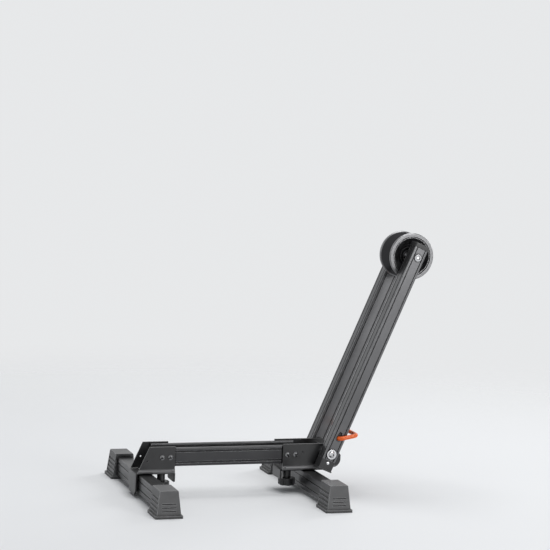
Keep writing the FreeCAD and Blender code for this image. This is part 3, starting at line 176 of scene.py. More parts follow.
def set_lamp(name, place, aim, size, watts):
    data = bpy.data.lights.new(name, "AREA")
    data.shape = "RECTANGLE"
    data.size, data.size_y = size
    data.energy = watts
    lamp = shown(name, data)
    lamp.location = place
    direction = Vector(aim) - Vector(place)
    lamp.rotation_euler = direction.to_track_quat("-Z", "Y").to_euler()
    lamp.visible_camera = False


def pale_where_seen(tree, lit):
    """Soft light from all round, and a plain pale grey where the room itself is seen."""
    pale = add_node(tree, "ShaderNodeBackground", {"Color": (0.80, 0.81, 0.82, 1)})
    path = tree.nodes.new("ShaderNodeLightPath").outputs
    seen = path["Is Camera Ray"]
    for kind in ("Is Glossy Ray", "Is Transmission Ray"):
        seen = sum_of(tree, "MAXIMUM", seen, path[kind])
    choose = add_node(tree, "ShaderNodeMixShader", {"Fac": seen, 1: lit, 2: pale.outputs[0]})
    return choose.outputs[0]


def set_floor():
    """A wide disc that melts into the pale room towards its edge."""
    disc = bmesh.new()
    bmesh.ops.create_circle(disc, cap_ends=True, segments=96, radius=6.0)
    floor = shown("floor", as_mesh(disc))
    paint, tree, where = new_finish("pale_floor", (0.70, 0.71, 0.72), 0.60)
    shader = tree.nodes["Principled BSDF"]
    shader.inputs["Specular IOR Level"].default_value = 0.2
    reach = add_node(tree, "ShaderNodeVectorMath", {0: where}, operation="LENGTH")
    melt_start, melt_end = 0.5, 1.9
    fade = remapped(tree, reach.outputs["Value"], melt_start, melt_end,
                    interpolation_type="SMOOTHSTEP")
    clear = tree.nodes.new("ShaderNodeBsdfTransparent")
    choose = add_node(tree, "ShaderNodeMixShader",
                      {"Fac": fade, 1: shader.outputs[0], 2: clear.outputs[0]})
    tree.links.new(choose.outputs[0], tree.nodes["Material Output"].inputs["Surface"])
    floor.data.materials.append(paint)


def set_room():
    world = bpy.data.worlds.new("studio")
    bpy.context.scene.world = world
    world.use_nodes = True
    tree = world.node_tree
    tree.nodes.clear()
    soft = add_node(tree, "ShaderNodeBackground",
                    {"Color": (0.82, 0.84, 0.88, 1), "Strength": 0.32})
    add_node(tree, "ShaderNodeOutputWorld", {"Surface": pale_where_seen(tree, soft.outputs[0])})
    set_floor()
    set_lamp("high_softbox", (0.3, 0.2, 3.6), (0.1, 0.0, 0.1), (2.8, 1.8), 102)
    set_lamp("left_softbox", (-3.0, -0.9, 1.5), (0.0, 0.0, 0.2), (0.9, 2.2), 7)
    set_lamp("near_softbox", (1.45, -3.2, 0.85), (0.2, 0.0, 0.34), (1.2, 1.0), 34)
    set_lamp("rear_softbox", (2.6, 1.4, 1.6), (0.2, 0.0, 0.25), (0.8, 2.0), 30)


# Finishes

def new_finish(name, colour, roughness, metallic=0.0):
    """A material with object coordinates ready, to which its maker adds the grain."""
    finish = bpy.data.materials.new(name)
    finish.use_nodes = True
    tree = finish.node_tree
    shader = tree.nodes["Principled BSDF"]
    shader.inputs["Base Color"].default_value = (*colour, 1)
    shader.inputs["Roughness"].default_value = roughness
    shader.inputs["Metallic"].default_value = metallic
    return finish, tree, tree.nodes.new("ShaderNodeTexCoord").outputs["Object"]


def surfaced(finish, colour, roughness, grain, depth, strength):
    """Give a finish its colour and roughness, and a grain raised by some millimetres."""
    tree = finish.node_tree
    shader = tree.nodes["Principled BSDF"]
    bump = add_node(tree, "ShaderNodeBump",
                    {"Height": grain, "Distance": depth / 1000.0, "Strength": strength})
    tree.links.new(colour, shader.inputs["Base Color"])
    tree.links.new(roughness, shader.inputs["Roughness"])
    tree.links.new(bump.outputs[0], shader.inputs["Normal"])
    return finish


def speckle(tree, where, scale, detail=4.0, stretch=(1, 1, 1), turn=(0, 0, 0)):
    """Noise with a number of blotches to the metre, drawn out along one axis if asked."""
    mapping = add_node(tree, "ShaderNodeMapping",
                       {"Vector": where, "Scale": stretch, "Rotation": turn})
    noise = add_node(tree, "ShaderNodeTexNoise",
                     {"Vector": mapping.outputs[0], "Scale": scale, "Detail": detail})
    return noise.outputs["Fac"]


def between(tree, noise, low, high):
    """Spread the middle of a noise over a range of values."""
    return remapped(tree, noise, 0.3, 0.7, low, high)


def tint(tree, noise, dark, light):
    """A colour that runs from dark to light over the middle of a noise."""
    ramp = add_node(tree, "ShaderNodeValToRGB", {"Fac": noise})
    for stop, place, colour in zip(ramp.color_ramp.elements, (0.3, 0.7), (dark, light)):
        stop.position = place
        stop.color = (*colour, 1)
    return ramp.outputs["Color"]


def scaled(colour, share):
    return tuple(value * share for value in colour)


def painted_edge_highlights(tree, where, colour, light, width, share):
    """Painted highlights: lighten the colour where the surface turns sharply, broken up by noise."""
    geometry = tree.nodes.new("ShaderNodeNewGeometry")
    bevel = add_node(tree, "ShaderNodeBevel", {"Radius": width / 1000.0}, samples=4)
    agree = add_node(tree, "ShaderNodeVectorMath",
                     {0: bevel.outputs[0], 1: geometry.outputs["Normal"]},
                     operation="DOT_PRODUCT")
    highlight_share = between(tree, speckle(tree, where, 160.0), 0.25 * share, share)
    highlight_mask = remapped(tree, agree.outputs["Value"], 0.998, 0.90, 0.0, highlight_share)
    return mixed(tree, highlight_mask, colour, (*light, 1))


def shaded_grooves(tree, colour, reach, floor, deepest=0.50):
    """Darken what lies deep in grooves and corners, where little light gets in."""
    hollow = add_node(tree, "ShaderNodeAmbientOcclusion", {"Distance": reach / 1000.0}, samples=6)
    shade = remapped(tree, hollow.outputs["AO"], deepest, 0.95, floor)
    return mixed(tree, 1.0, colour, shade, "MULTIPLY")


def painted_ring_sheen(tree, where, colour, light):
    """Paint a lighter ring on the flanges' outer faces round the dish: a painted sheen where the ring
    catches the light.
    """
    apart = add_node(tree, "ShaderNodeVectorMath", {0: where, 1: row(AXLE_X, 0.0, AXLE_Z)},
                     operation="SUBTRACT")
    parts = add_node(tree, "ShaderNodeSeparateXYZ", {0: apart.outputs[0]}).outputs
    radius = length_of(tree, {"X": parts["X"], "Z": parts["Z"]})
    past_dish = remapped(tree, radius, 0.0354, 0.0362)
    outer_face = remapped(tree, sum_of(tree, "ABSOLUTE", parts["Y"]), 0.0205, 0.0212)
    ring = sum_of(tree, "MULTIPLY", past_dish, outer_face)
    return mixed(tree, ring, colour, (*light, 1))


def painted_bead_highlight(tree, where, colour, light):
    """Paint a highlight on the brackets' beads, where they stand out of the plates and catch the
    light.
    """
    parts = add_node(tree, "ShaderNodeSeparateXYZ", {0: where}).outputs
    plate = PLATE_OUT / 1000.0
    bead_mask = remapped(tree, sum_of(tree, "ABSOLUTE", parts["Y"]), plate + 0.0001, plate + 0.0014)
    return mixed(tree, bead_mask, colour, (*light, 1))


def anodised_finish(name, dark, light, turn, stretch, edge, rim=0.6, ring=None):
    """Black anodised metal with faint drawing lines along its length, painted highlights on its edges,
    painted shade in its grooves, and, if a ring colour is given, a painted sheen on the roller
    flanges' outer ring.
    """
    finish, tree, where = new_finish(name, dark, 0.34, 0.85)
    lines = speckle(tree, where, 1100.0, 3.0, stretch, turn)
    colour = tint(tree, speckle(tree, where, 9.0, 5.0), dark, light)
    # ring, when given, is the colour of the painted sheen on the roller flanges' outer ring.
    if ring:
        colour = painted_ring_sheen(tree, where, colour, ring)
    # Painted highlight along sharp edges, in the colour edge, over a width of rim millimetres.
    colour = painted_edge_highlights(tree, where, colour, edge, rim, 0.9)
    colour = shaded_grooves(tree, colour, 3.2, 0.03, 0.70)
    return surfaced(finish, colour, between(tree, lines, 0.29, 0.35), lines, 0.006, 0.25)


def powder_finish(name, dark, light, roughness, edge, bead=None):
    """Baked powder coat: fine orange peel over the sheet, with painted highlights on its edges and
    beads and painted shade in its corners.
    """
    finish, tree, where = new_finish(name, dark, roughness)
    peel = speckle(tree, where, 1300.0, 2.0)
    cloud = speckle(tree, where, 22.0, 4.0)
    colour = tint(tree, cloud, dark, light)
    # bead, when given, is the colour of the painted highlight on the brackets' beads.
    if bead:
        colour = painted_bead_highlight(tree, where, colour, bead)
    # Painted highlight along sharp edges, in the colour edge.
    colour = painted_edge_highlights(tree, where, colour, edge, 0.9, 0.5)
    colour = shaded_grooves(tree, colour, 6.0, 0.5)
    rough = between(tree, cloud, roughness - 0.05, roughness + 0.06)
    return surfaced(finish, colour, rough, peel, 0.05, 0.5)


def moulded_finish(name, dark, light, roughness, grain):
    """Moulded rubber or plastic with a fine spark-eroded grain and a little dust, painted highlights
    on its edges and painted shade in its grooves.
    """
    finish, tree, where = new_finish(name, dark, roughness)
    fine = speckle(tree, where, grain, 5.0)
    colour = tint(tree, speckle(tree, where, 45.0, 6.0), dark, light)
    # Painted highlight along sharp edges, five times as light as the lighter tone.
    colour = painted_edge_highlights(tree, where, colour, scaled(light, 5.0), 1.3, 0.9)
    colour = shaded_grooves(tree, colour, 5.0, 0.12, 0.62)
    rough = between(tree, fine, roughness - 0.07, roughness + 0.1)
    return surfaced(finish, colour, rough, fine, 0.10, 0.6)


def steel_finish(name, colour, roughness, reach, floor):
    """Plated steel, finely brushed, with its sockets and seats in shade."""
    finish, tree, where = new_finish(name, colour, roughness, 1.0)
    fine = speckle(tree, where, 1500.0, 3.0)
    brushed = tint(tree, fine, scaled(colour, 0.86), scaled(colour, 1.12))
    shade = shaded_grooves(tree, brushed, reach, floor)
    rough = between(tree, fine, roughness - 0.05, roughness + 0.07)
    return surfaced(finish, shade, rough, fine, 0.02, 0.4)


def make_finishes():
    # edge is the colour of the painted highlights on sharp edges. The roller's last colour is its
    # painted ring sheen; the brackets' last two are their painted edge and bead highlights; the orange
    # coat's last is its painted edge highlight.
    black, lighter, edge = (0.044, 0.044, 0.046), (0.060, 0.060, 0.062), (0.50, 0.50, 0.51)
    all_ways, along_bar, along_rail, along_arm = (1, 1, 1), (1, 0.012, 1), (0.012, 1, 1), (1, 1, 0.012)
    finishes = [
        # The arms' copy of the black anodised finish is lighter than the bars' and rails': painted
        # light, for the light the raised arms catch.
        anodised_finish("arm_black_lit", (0.100, 0.100, 0.103), (0.128, 0.128, 0.132),
                        (0, LEAN, 0), along_arm, edge),
        anodised_finish("bar_black", black, lighter, (0, 0, 0), along_bar, edge, 1.4),
        anodised_finish("rail_black", black, lighter, (0, 0, 0), along_rail, edge, 1.0),
        anodised_finish("roller_black", (0.034, 0.034, 0.036), (0.046, 0.046, 0.048),
                        (0, 0, 0), all_ways, (0.65, 0.65, 0.66), 1.6, (0.15, 0.15, 0.154)),
        powder_finish("bracket_powder", (0.014, 0.014, 0.015), (0.022, 0.022, 0.023), 0.34,
                      (0.15, 0.15, 0.155), (0.14, 0.14, 0.143)),
        powder_finish("orange_coat", (0.80, 0.115, 0.008), (0.92, 0.165, 0.014), 0.28,
                      (0.97, 0.30, 0.06)),
        moulded_finish("foot_black", (0.068, 0.068, 0.069), (0.096, 0.096, 0.097), 0.50, 900.0),
        moulded_finish("pad_rubber", (0.024, 0.024, 0.025), (0.036, 0.036, 0.037), 0.62, 700.0),
        moulded_finish("cap_plastic", (0.016, 0.016, 0.017), (0.024, 0.024, 0.025), 0.36, 1300.0),
        steel_finish("bright_steel", (0.64, 0.64, 0.65), 0.20, 2.0, 0.12),
        steel_finish("blackened_steel", (0.19, 0.19, 0.195), 0.16, 3.2, 0.02),
    ]
    return {finish.name: finish for finish in finishes}


# Shared shaping

def as_mesh(shape):
    """A mesh made from a shape, which is used up."""
    mesh = bpy.data.meshes.new("shape")
    shape.to_mesh(mesh)
    shape.free()
    return mesh


def as_shape(mesh):
    shape = bmesh.new()
    shape.from_mesh(mesh)
    return shape


def settled(thing):
    """The plain mesh that an object's modifiers leave; the object is cleared away."""
    view = bpy.context.evaluated_depsgraph_get()
    mesh = bpy.data.meshes.new_from_object(thing.evaluated_get(view))
    bpy.data.objects.remove(thing)
    return mesh


def finished(node, form, shape, finish=None):
    """Show a shape as the piece that stands for a CAD node, on that node's body and slot."""
    name, body, slot = node + "_" + form, BODY_OF[node], SLOT_OF[node]
    mesh = as_mesh(shape)
    mesh.materials.append(FINISHES[finish or SLOT_FINISH[slot]])
    for polygon in mesh.polygons:
        polygon.material_index = 0
        polygon.use_smooth = True
    mesh.set_sharp_from_angle(angle=math.radians(32.0))
    rough = shown("work", mesh)
    # Flat faces keep their own direction, and only the rounded edges between them shade.
    even = rough.modifiers.new("even", "WEIGHTED_NORMAL")
    even.keep_sharp = True
    even.weight = 80
    smooth = settled(rough)
    smooth.name = name
    piece = shown(name, smooth)
    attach(piece, body)
    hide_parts(node)
    return piece


def merged_copy(node):
    """A CAD node's shape with its triangles sewn into flat faces."""
    shape = as_shape(frame["nodes"][node].data)
    bmesh.ops.remove_doubles(shape, verts=shape.verts, dist=2e-6)
    bmesh.ops.dissolve_limit(shape, angle_limit=math.radians(0.5), verts=shape.verts,
                             edges=shape.edges)
    return shape


def rounded(shape, edges, width, segments=2):
    """Round chosen edges of a shape by a width in millimetres."""
    bmesh.ops.bevel(shape, geom=list(edges), offset=width / 1000.0, segments=segments,
                    profile=0.5, affect="EDGES", clamp_overlap=True)
    return shape


def sharp_edges(shape, angle):
    """Edges whose two faces turn by more than an angle in degrees."""
    return [edge for edge in shape.edges
            if len(edge.link_faces) == 2 and edge.calc_face_angle(0) > math.radians(angle)]


def break_edges(shape, width, angle=35.0, segments=2):
    """Round every sharp edge of a shape."""
    return rounded(shape, sharp_edges(shape, angle), width, segments)


def edges_where(shape, test):
    """Edges both of whose ends pass a test of their place, in drawing millimetres."""
    def passes(vertex):
        return test(vertex.co.x * 1000.0 + SHIFT, vertex.co.y * 1000.0, vertex.co.z * 1000.0)
    return [edge for edge in shape.edges if all(passes(vertex) for vertex in edge.verts)]


def join_rings(shape, first, second):
    """Faces between two rings of corners; a ring of one corner is a pole."""
    count = max(len(first), len(second))
    for number in range(count):
        after = (number + 1) % count
        if len(first) == 1:
            shape.faces.new((first[0], second[after], second[number]))
        elif len(second) == 1:
            shape.faces.new((first[number], first[after], second[0]))
        else:
            shape.faces.new((first[number], first[after], second[after], second[number]))


def lofted(rings):
    """A closed solid through rings of points that all have the same number of corners."""
    shape = bmesh.new()
    corners = [[shape.verts.new(point) for point in ring] for ring in rings]
    for first, second in zip(corners, corners[1:]):
        join_rings(shape, first, second)
    shape.faces.new(list(reversed(corners[0])))
    shape.faces.new(corners[-1])
    bmesh.ops.recalc_face_normals(shape, faces=shape.faces)
    return shape


def prism(outline, place, low, high):
    """A solid of one section; place turns section and depth into a point."""
    return lofted([[place(a, b, depth) for a, b in outline] for depth in (low, high)])


def turned(profile, x, z, steps=72, closed=True):
    """A profile of radius and height turned once round an axis across the stand."""
    shape = bmesh.new()
    rings = []
    for radius, height in profile:
        count = steps if radius > 1e-6 else 1
        turns = [2 * math.pi * step / steps for step in range(count)]
        rings.append([shape.verts.new(row(x + radius * math.cos(turn), height,
                                          z + radius * math.sin(turn))) for turn in turns])
    following = rings[1:] + (rings[:1] if closed else [])
    for first, second in zip(rings, following):
        if len(first) > 1 or len(second) > 1:
            join_rings(shape, first, second)
    bmesh.ops.recalc_face_normals(shape, faces=shape.faces)
    return shape


def arc(x, z, radius, start, end, steps):
    """Points along an arc, from one of its ends to the other."""
    turns = [start + (end - start) * step / steps for step in range(steps + 1)]
    return [(x + radius * math.cos(turn), z + radius * math.sin(turn)) for turn in turns]


def obround(half, low, high, steps=12):
    """A slot's outline: half circles at both ends of a straight run."""
    return (arc(0.0, high, half, 0.0, math.pi, steps)
            + arc(0.0, low, half, math.pi, 2 * math.pi, steps))


def softened(outline, radius, steps=3):
    """An outline with its corners rounded; radius is one value or one for each corner."""
    radii = radius if isinstance(radius, (list, tuple)) else [radius] * len(outline)
    soft = []
    for number, (corner, keep) in enumerate(zip(outline, radii)):
        here = Vector(corner)
        back = Vector(outline[number - 1]) - here
        ahead = Vector(outline[(number + 1) % len(outline)]) - here
        turn = back.angle(ahead)
        if keep <= 0 or abs(turn - math.pi) < 0.02:
            soft.append(tuple(here))
            continue
        run = min(keep / math.tan(turn / 2), 0.48 * back.length, 0.48 * ahead.length)
        start = here + back.normalized() * run
        finish = here + ahead.normalized() * run
        for step in range(steps + 1):
            share = step / steps
            soft.append(tuple((1 - share) ** 2 * start + 2 * share * (1 - share) * here
                              + share ** 2 * finish))
    return soft


def oblong(low, high, radius=0.0, steps=4):
    """A rectangle's outline from two opposite corners, with all its corners rounded."""
    corners = [low, (high[0], low[1]), high, (low[0], high[1])]
    return softened(corners, radius, steps)


def carved(solid, tools, operation="DIFFERENCE"):
    """The solid less its tools, or joined to them."""
    work = shown("work", as_mesh(solid))
    others = [shown("work", as_mesh(tool)) for tool in tools]
    for other in others:
        change = work.modifiers.new("carve", "BOOLEAN")
        change.operation = operation
        change.object = other
        change.solver = "EXACT"
    shape = as_shape(settled(work))
    for other in others:
        bpy.data.objects.remove(other)
    return shape


def together(*shapes):
    """Several shapes as one mesh."""
    whole = bmesh.new()
    for shape in shapes:
        whole.from_mesh(as_mesh(shape))
    return whole


# Geometry trees

def new_tree(name, sizes):
    """A tree with a named input for each size, and one for the finish."""
    tree = bpy.data.node_groups.new(name, "GeometryNodeTree")
    face = tree.interface
    face.new_socket("Geometry", in_out="INPUT", socket_type="NodeSocketGeometry")
    for label in sizes:
        face.new_socket(label, in_out="INPUT", socket_type="NodeSocketFloat")
    face.new_socket("Finish", in_out="INPUT", socket_type="NodeSocketMaterial")
    face.new_socket("Geometry", in_out="OUTPUT", socket_type="NodeSocketGeometry")
    return tree, tree.nodes.new("NodeGroupInput").outputs


def give_back(tree, given, geometry):
    """End a tree in plain geometry that wears its finish."""
    real = add_node(tree, "GeometryNodeRealizeInstances", {"Geometry": geometry})
    dressed = add_node(tree, "GeometryNodeSetMaterial",
                       {"Geometry": real.outputs[0], "Material": given["Finish"]})
    add_node(tree, "NodeGroupOutput", {0: dressed.outputs[0]})
    return tree


def set_on_points(tree, given, piece):
    """Set a piece, which stands along +Z, on each point along its own facing."""
    facing = add_node(tree, "GeometryNodeInputNamedAttribute", {"Name": "facing"},
                      data_type="FLOAT_VECTOR")
    turn = add_node(tree, "FunctionNodeAlignRotationToVector",
                    {"Vector": facing.outputs["Attribute"]}, axis="Z")
    spread = add_node(tree, "GeometryNodeInstanceOnPoints",
                      {"Points": given["Geometry"], "Instance": piece,
                       "Rotation": turn.outputs[0]})
    return give_back(tree, given, spread.outputs[0])


def cylinder(tree, corners, radius, depth, segments=()):
    """A round or many-sided bar along Z, centred on its point."""
    return add_node(tree, "GeometryNodeMeshCylinder",
                    {"Vertices": corners, "Radius": radius, "Depth": depth,
                     **dict(segments)}).outputs["Mesh"]


def six_sided(tree, flats, depth):
    radius = sum_of(tree, "MULTIPLY", flats, 0.5 / math.cos(math.pi / 6))
    return cylinder(tree, 6, radius, depth)


def moved_up(tree, geometry, height):
    lift = add_node(tree, "ShaderNodeCombineXYZ", {"Z": height})
    return add_node(tree, "GeometryNodeTransform",
                    {"Geometry": geometry, "Translation": lift.outputs[0]}).outputs[0]


def button_screw_tree():
    """A domed head with a six-sided socket, on a shank that runs down from its seat."""
    tree, given = new_tree("button_screws", ["Head Diameter", "Head Height", "Key Flats",
                                             "Shank Diameter", "Shank Length"])
    radius = half_of(tree, given["Head Diameter"])
    high, length = given["Head Height"], given["Shank Length"]
    blank = cylinder(tree, 40, radius, high, {"Side Segments": 2, "Fill Segments": 6})
    place = tree.nodes.new("GeometryNodeInputPosition").outputs[0]
    parts = add_node(tree, "ShaderNodeSeparateXYZ", {0: place}).outputs
    out = length_of(tree, {"X": parts["X"], "Y": parts["Y"]})
    share = sum_of(tree, "DIVIDE", out, radius)
    fall = sum_of(tree, "MULTIPLY", sum_of(tree, "POWER", share, 2.2), 0.62)
    level = sum_of(tree, "ADD", parts["Z"], half_of(tree, high))
    risen = sum_of(tree, "MULTIPLY", level, sum_of(tree, "SUBTRACT", 1.0, fall))
    target = add_node(tree, "ShaderNodeCombineXYZ", {"X": parts["X"], "Y": parts["Y"], "Z": risen})
    domed = add_node(tree, "GeometryNodeSetPosition",
                     {"Geometry": blank, "Position": target.outputs[0]})
    key = six_sided(tree, given["Key Flats"], high)
    socket = moved_up(tree, key, sum_of(tree, "MULTIPLY", high, 0.88))
    head = add_node(tree, "GeometryNodeMeshBoolean",
                    {"Mesh 1": domed.outputs[0], "Mesh 2": socket}, operation="DIFFERENCE")
    shank = cylinder(tree, 24, half_of(tree, given["Shank Diameter"]), length)
    below = moved_up(tree, shank, sum_of(tree, "MULTIPLY", length, -0.5))
    both = tree.nodes.new("GeometryNodeJoinGeometry")
    tree.links.new(below, both.inputs[0])
    tree.links.new(head.outputs["Mesh"], both.inputs[0])
    return set_on_points(tree, given, both.outputs[0])


def nut_tree():
    """A six-sided nut with turned corners, threaded on to the end of its bolt."""
    tree, given = new_tree("nuts", ["Flats", "Height", "Bore"])
    flats, high = given["Flats"], given["Height"]
    blank = six_sided(tree, flats, high)
    round_off = cylinder(tree, 48, sum_of(tree, "MULTIPLY", flats, 0.575), high,
                         {"Side Segments": 10, "Fill Segments": 1})
    place = tree.nodes.new("GeometryNodeInputPosition").outputs[0]
    parts = add_node(tree, "ShaderNodeSeparateXYZ", {0: place}).outputs
    share = sum_of(tree, "DIVIDE", sum_of(tree, "ABSOLUTE", parts["Z"]), high)
    past = sum_of(tree, "MAXIMUM", sum_of(tree, "SUBTRACT", share, 0.36), 0.0)
    narrow = sum_of(tree, "SUBTRACT", 1.0, sum_of(tree, "MULTIPLY", past, 0.9))
    squeeze = add_node(tree, "ShaderNodeCombineXYZ", {"X": narrow, "Y": narrow, "Z": 1.0})
    target = add_node(tree, "ShaderNodeVectorMath", {0: place, 1: squeeze.outputs[0]},
                      operation="MULTIPLY")
    eased = add_node(tree, "GeometryNodeSetPosition",
                     {"Geometry": round_off, "Position": target.outputs[0]})
    body = add_node(tree, "GeometryNodeMeshBoolean", operation="INTERSECT", solver="EXACT")
    tree.links.new(blank, body.inputs["Mesh 2"])
    tree.links.new(eased.outputs[0], body.inputs["Mesh 2"])
    drill = cylinder(tree, 32, half_of(tree, given["Bore"]), sum_of(tree, "MULTIPLY", high, 1.4))
    bored = add_node(tree, "GeometryNodeMeshBoolean",
                     {"Mesh 1": body.outputs["Mesh"], "Mesh 2": drill},
                     operation="DIFFERENCE", solver="EXACT")
    return set_on_points(tree, given, moved_up(tree, bored.outputs["Mesh"], half_of(tree, high)))


def swept(tree, line, corners, radius):
    """A round wire or rod along a line, closed at its ends."""
    section = add_node(tree, "GeometryNodeCurvePrimitiveCircle",
                       {"Resolution": corners, "Radius": radius})
    return add_node(tree, "GeometryNodeCurveToMesh",
                    {"Curve": line, "Profile Curve": section.outputs[0],
                     "Fill Caps": True}).outputs[0]


def coil_tree():
    """A coil spring that stands on its point."""
    tree, given = new_tree("coil_springs", ["Coil Diameter", "Wire Diameter", "Length", "Turns"])
    wire = half_of(tree, given["Wire Diameter"])
    radius = sum_of(tree, "SUBTRACT", half_of(tree, given["Coil Diameter"]), wire)
    rise = sum_of(tree, "SUBTRACT", given["Length"], given["Wire Diameter"])
    line = add_node(tree, "GeometryNodeCurveSpiral",
                    {"Resolution": 28, "Rotations": given["Turns"], "Start Radius": radius,
                     "End Radius": radius, "Height": rise})
    coil = swept(tree, line.outputs[0], 10, wire)
    return set_on_points(tree, given, moved_up(tree, coil, wire))


def rod_tree():
    """A round rod bent along the edges of its mesh."""
    tree, given = new_tree("bent_rod", ["Rod Diameter", "Bend Radius"])
    line = add_node(tree, "GeometryNodeMeshToCurve", {"Mesh": given["Geometry"]})
    bent = add_node(tree, "GeometryNodeFilletCurve",
                    {"Curve": line.outputs[0], "Radius": given["Bend Radius"], "Count": 14},
                    mode="POLY")
    rod = swept(tree, bent.outputs[0], 32, half_of(tree, given["Rod Diameter"]))
    return give_back(tree, given, rod)


def grown(tree, base, finish, sizes):
    """Run a tree on a base mesh, with its inputs set by name, and keep the plain shape."""
    holder = shown("work", base)
    growth = holder.modifiers.new("grow", "NODES")
    growth.node_group = tree
    for item in tree.interface.items_tree:
        if item.in_out == "INPUT" and item.name in sizes:
            growth[item.identifier] = sizes[item.name]
        elif item.name == "Finish":
            growth[item.identifier] = FINISHES[finish]
    shape = as_shape(settled(holder))
    bmesh.ops.remove_doubles(shape, verts=shape.verts, dist=1e-6)
    bmesh.ops.recalc_face_normals(shape, faces=shape.faces)
    return shape


def points_facing(spots):
    """A mesh of loose points, each with the direction that its piece faces."""
    mesh = bpy.data.meshes.new("spots")
    mesh.from_pydata([tuple(place) for place, facing in spots], [], [])
    way = mesh.attributes.new("facing", "FLOAT_VECTOR", "POINT")
    for number, (place, facing) in enumerate(spots):
        way.data[number].vector = facing
    return mesh


def millimetres(**sizes):
    """Input names with their sizes, turned from millimetres to metres."""
    return {name.replace("_", " "): value / 1000.0 for name, value in sizes.items()}


# Extrusions

def grooved(half_a, half_b, ridge, groove, deep, sides="ab"):
    """Outline of an extrusion with two grooves in the faces across a, b or both."""
    outline, radii = [], []
    corners = [(-1, -1, 1, 0), (1, -1, 0, 1), (1, 1, -1, 0), (-1, 1, 0, -1)]
    for sign_a, sign_b, run_a, run_b in corners:
        span = 2 * (half_a if run_a else half_b)
        stations = [(0, 0, 2.6)]
        if ("b" if run_a else "a") in sides:
            for start in (ridge, span - ridge - groove):
                stations += [(start, 0, 0.35), (start + 0.25, deep, 0.2),
                             (start + groove - 0.25, deep, 0.2), (start + groove, 0, 0.35)]
        for forward, inward, keep in stations:
            outline.append((sign_a * half_a + run_a * forward - run_b * inward,
                            sign_b * half_b + run_b * forward + run_a * inward))
            radii.append(keep)
    return softened(outline, radii)


def make_cross_bars():
    outline = grooved(13.0, BAR_HALF_HEIGHT, 8.3, 2.6, 1.2, sides="a")
    inside = oblong((-10.8, -14.3), (10.8, 14.3))
    for name, end in ENDS:
        def section(a, b, depth):
            return row(end * BAR_X + a, depth, BAR_LOW + BAR_HALF_HEIGHT + b)
        bar = prism(outline, section, -175.0, 175.0)
        hollow = prism(inside, section, -180.0, 180.0)
        finished("cross_bar_" + name, "tube", carved(bar, [hollow]))


def make_rails():
    outline = grooved(3.5, 16.5, 5.4, 2.9, 1.2, sides="a")
    for name, side in SIDES:
        rail = prism(outline, lambda a, b, depth: row(depth, side * 19.5 + a, RAIL_MID_Z + b),
                     -132.0, 132.0)
        finished("rail_" + name, "bar", break_edges(rail, 0.3, 60.0), "rail_black")


def arm_section(side):
    """Places a section of one arm; the depth runs along the arm from the pivot."""
    return lambda a, b, depth: on_arm(a, side * ARM_MID + b, depth)


def arm_flank(side):
    """Places an outline drawn on one arm's flank; the depth runs out across the stand."""
    return lambda a, b, depth: on_arm(a, side * depth, b)


def make_arms():
    outline = grooved(13.0, 12.0, 3.8, 2.2, 1.1)
    inside = oblong((-11.0, -10.0), (11.0, 10.0))
    handle_slot = obround(4.15, HANDLE_UP, HANDLE_UP + HANDLE_TRAVEL)
    journal_hole = obround(10.1, 0.0, 0.0, 24)
    for name, side in SIDES:
        arm = prism(outline, arm_section(side), -ARM_BELOW, ARM_TIP)
        hollow = prism(inside, arm_section(side), -ARM_BELOW - 5, ARM_TIP + 5)
        slot = prism(handle_slot, arm_flank(side), ARM_OUT - 6, ARM_OUT + 4)
        journal = prism(journal_hole, arm_flank(side), ARM_IN - 4, ARM_IN + 6)
        finished("arm_" + name, "tube", carved(arm, [hollow, slot, journal]), "arm_black_lit")


def make_arm_fittings():
    for name, side in SIDES:
        section = arm_section(side)
        cap = prism(oblong((-13.4, -12.4), (13.4, 12.4), 1.5), section, ARM_TIP, ARM_TIP + 8.5)
        break_edges(cap, 1.0, 69.0, 4)
        plug = prism(oblong((-10.8, -9.8), (10.8, 9.8)), section, ARM_TIP - 10.0, ARM_TIP + 1.0)
        finished("arm_cap_" + name, "moulding", together(cap, plug))
        rim_top = -ARM_BELOW - 17.0
        block = prism(oblong((-13.0, -12.0), (13.0, 12.0), 1.5), section, rim_top, -ARM_BELOW)
        pin_hole = prism(obround(3.05, -STOP_REACH, -STOP_REACH, 16), arm_flank(side), 28.0, 56.0)
        rim = prism(oblong((-13.9, -12.9), (13.9, 12.9), 1.8), section, rim_top - 2.5, rim_top)
        break_edges(rim, 0.6, 60.0, 3)
        finished("arm_end_" + name, "moulding", together(carved(block, [pin_hole]), rim))


# Brackets of bent sheet

def channel_outline():
    """The U of a bracket, bent from one sheet, with a rounded bead above each bend."""
    bend, bead, edge = 5.5, 1.7, 0.4
    widest, bend_top = PLATE_OUT + bead, BAR_TOP + bend
    roll = bead / (1 - math.cos(math.pi / 4))
    outside = arc(widest - bend, bend_top, bend, -math.pi / 2, 0.0, 8)
    outside += arc(widest - roll, bend_top, roll, 0.0, math.pi / 4, 6)[1:]
    outside += [(PLATE_OUT, BRACKET_TOP - edge), (PLATE_OUT - edge, BRACKET_TOP),
                (PLATE_IN + edge, BRACKET_TOP)]
    inside = softened([(PLATE_IN, BRACKET_TOP - edge), (PLATE_IN, FLOOR_TOP), (0.0, FLOOR_TOP)],
                      [0, 3.0, 0], 6)[:-1]
    half = outside + inside
    return half + [(-a, b) for a, b in reversed(half)]


def along(outline, low, high):
    """A solid drawn from the end, that runs along the stand."""
    return prism(outline, lambda a, b, depth: row(depth, a, b), low, high)


def cutter(outline):
    """A tool drawn from the side, that cuts through both plates of a bracket."""
    return prism(outline, lambda a, b, depth: row(a, depth, b), -30.0, 30.0)


def drain_hole(x, z):
    return cutter(arc(x, z, 1.5, 0.0, 2 * math.pi, 32)[:-1])


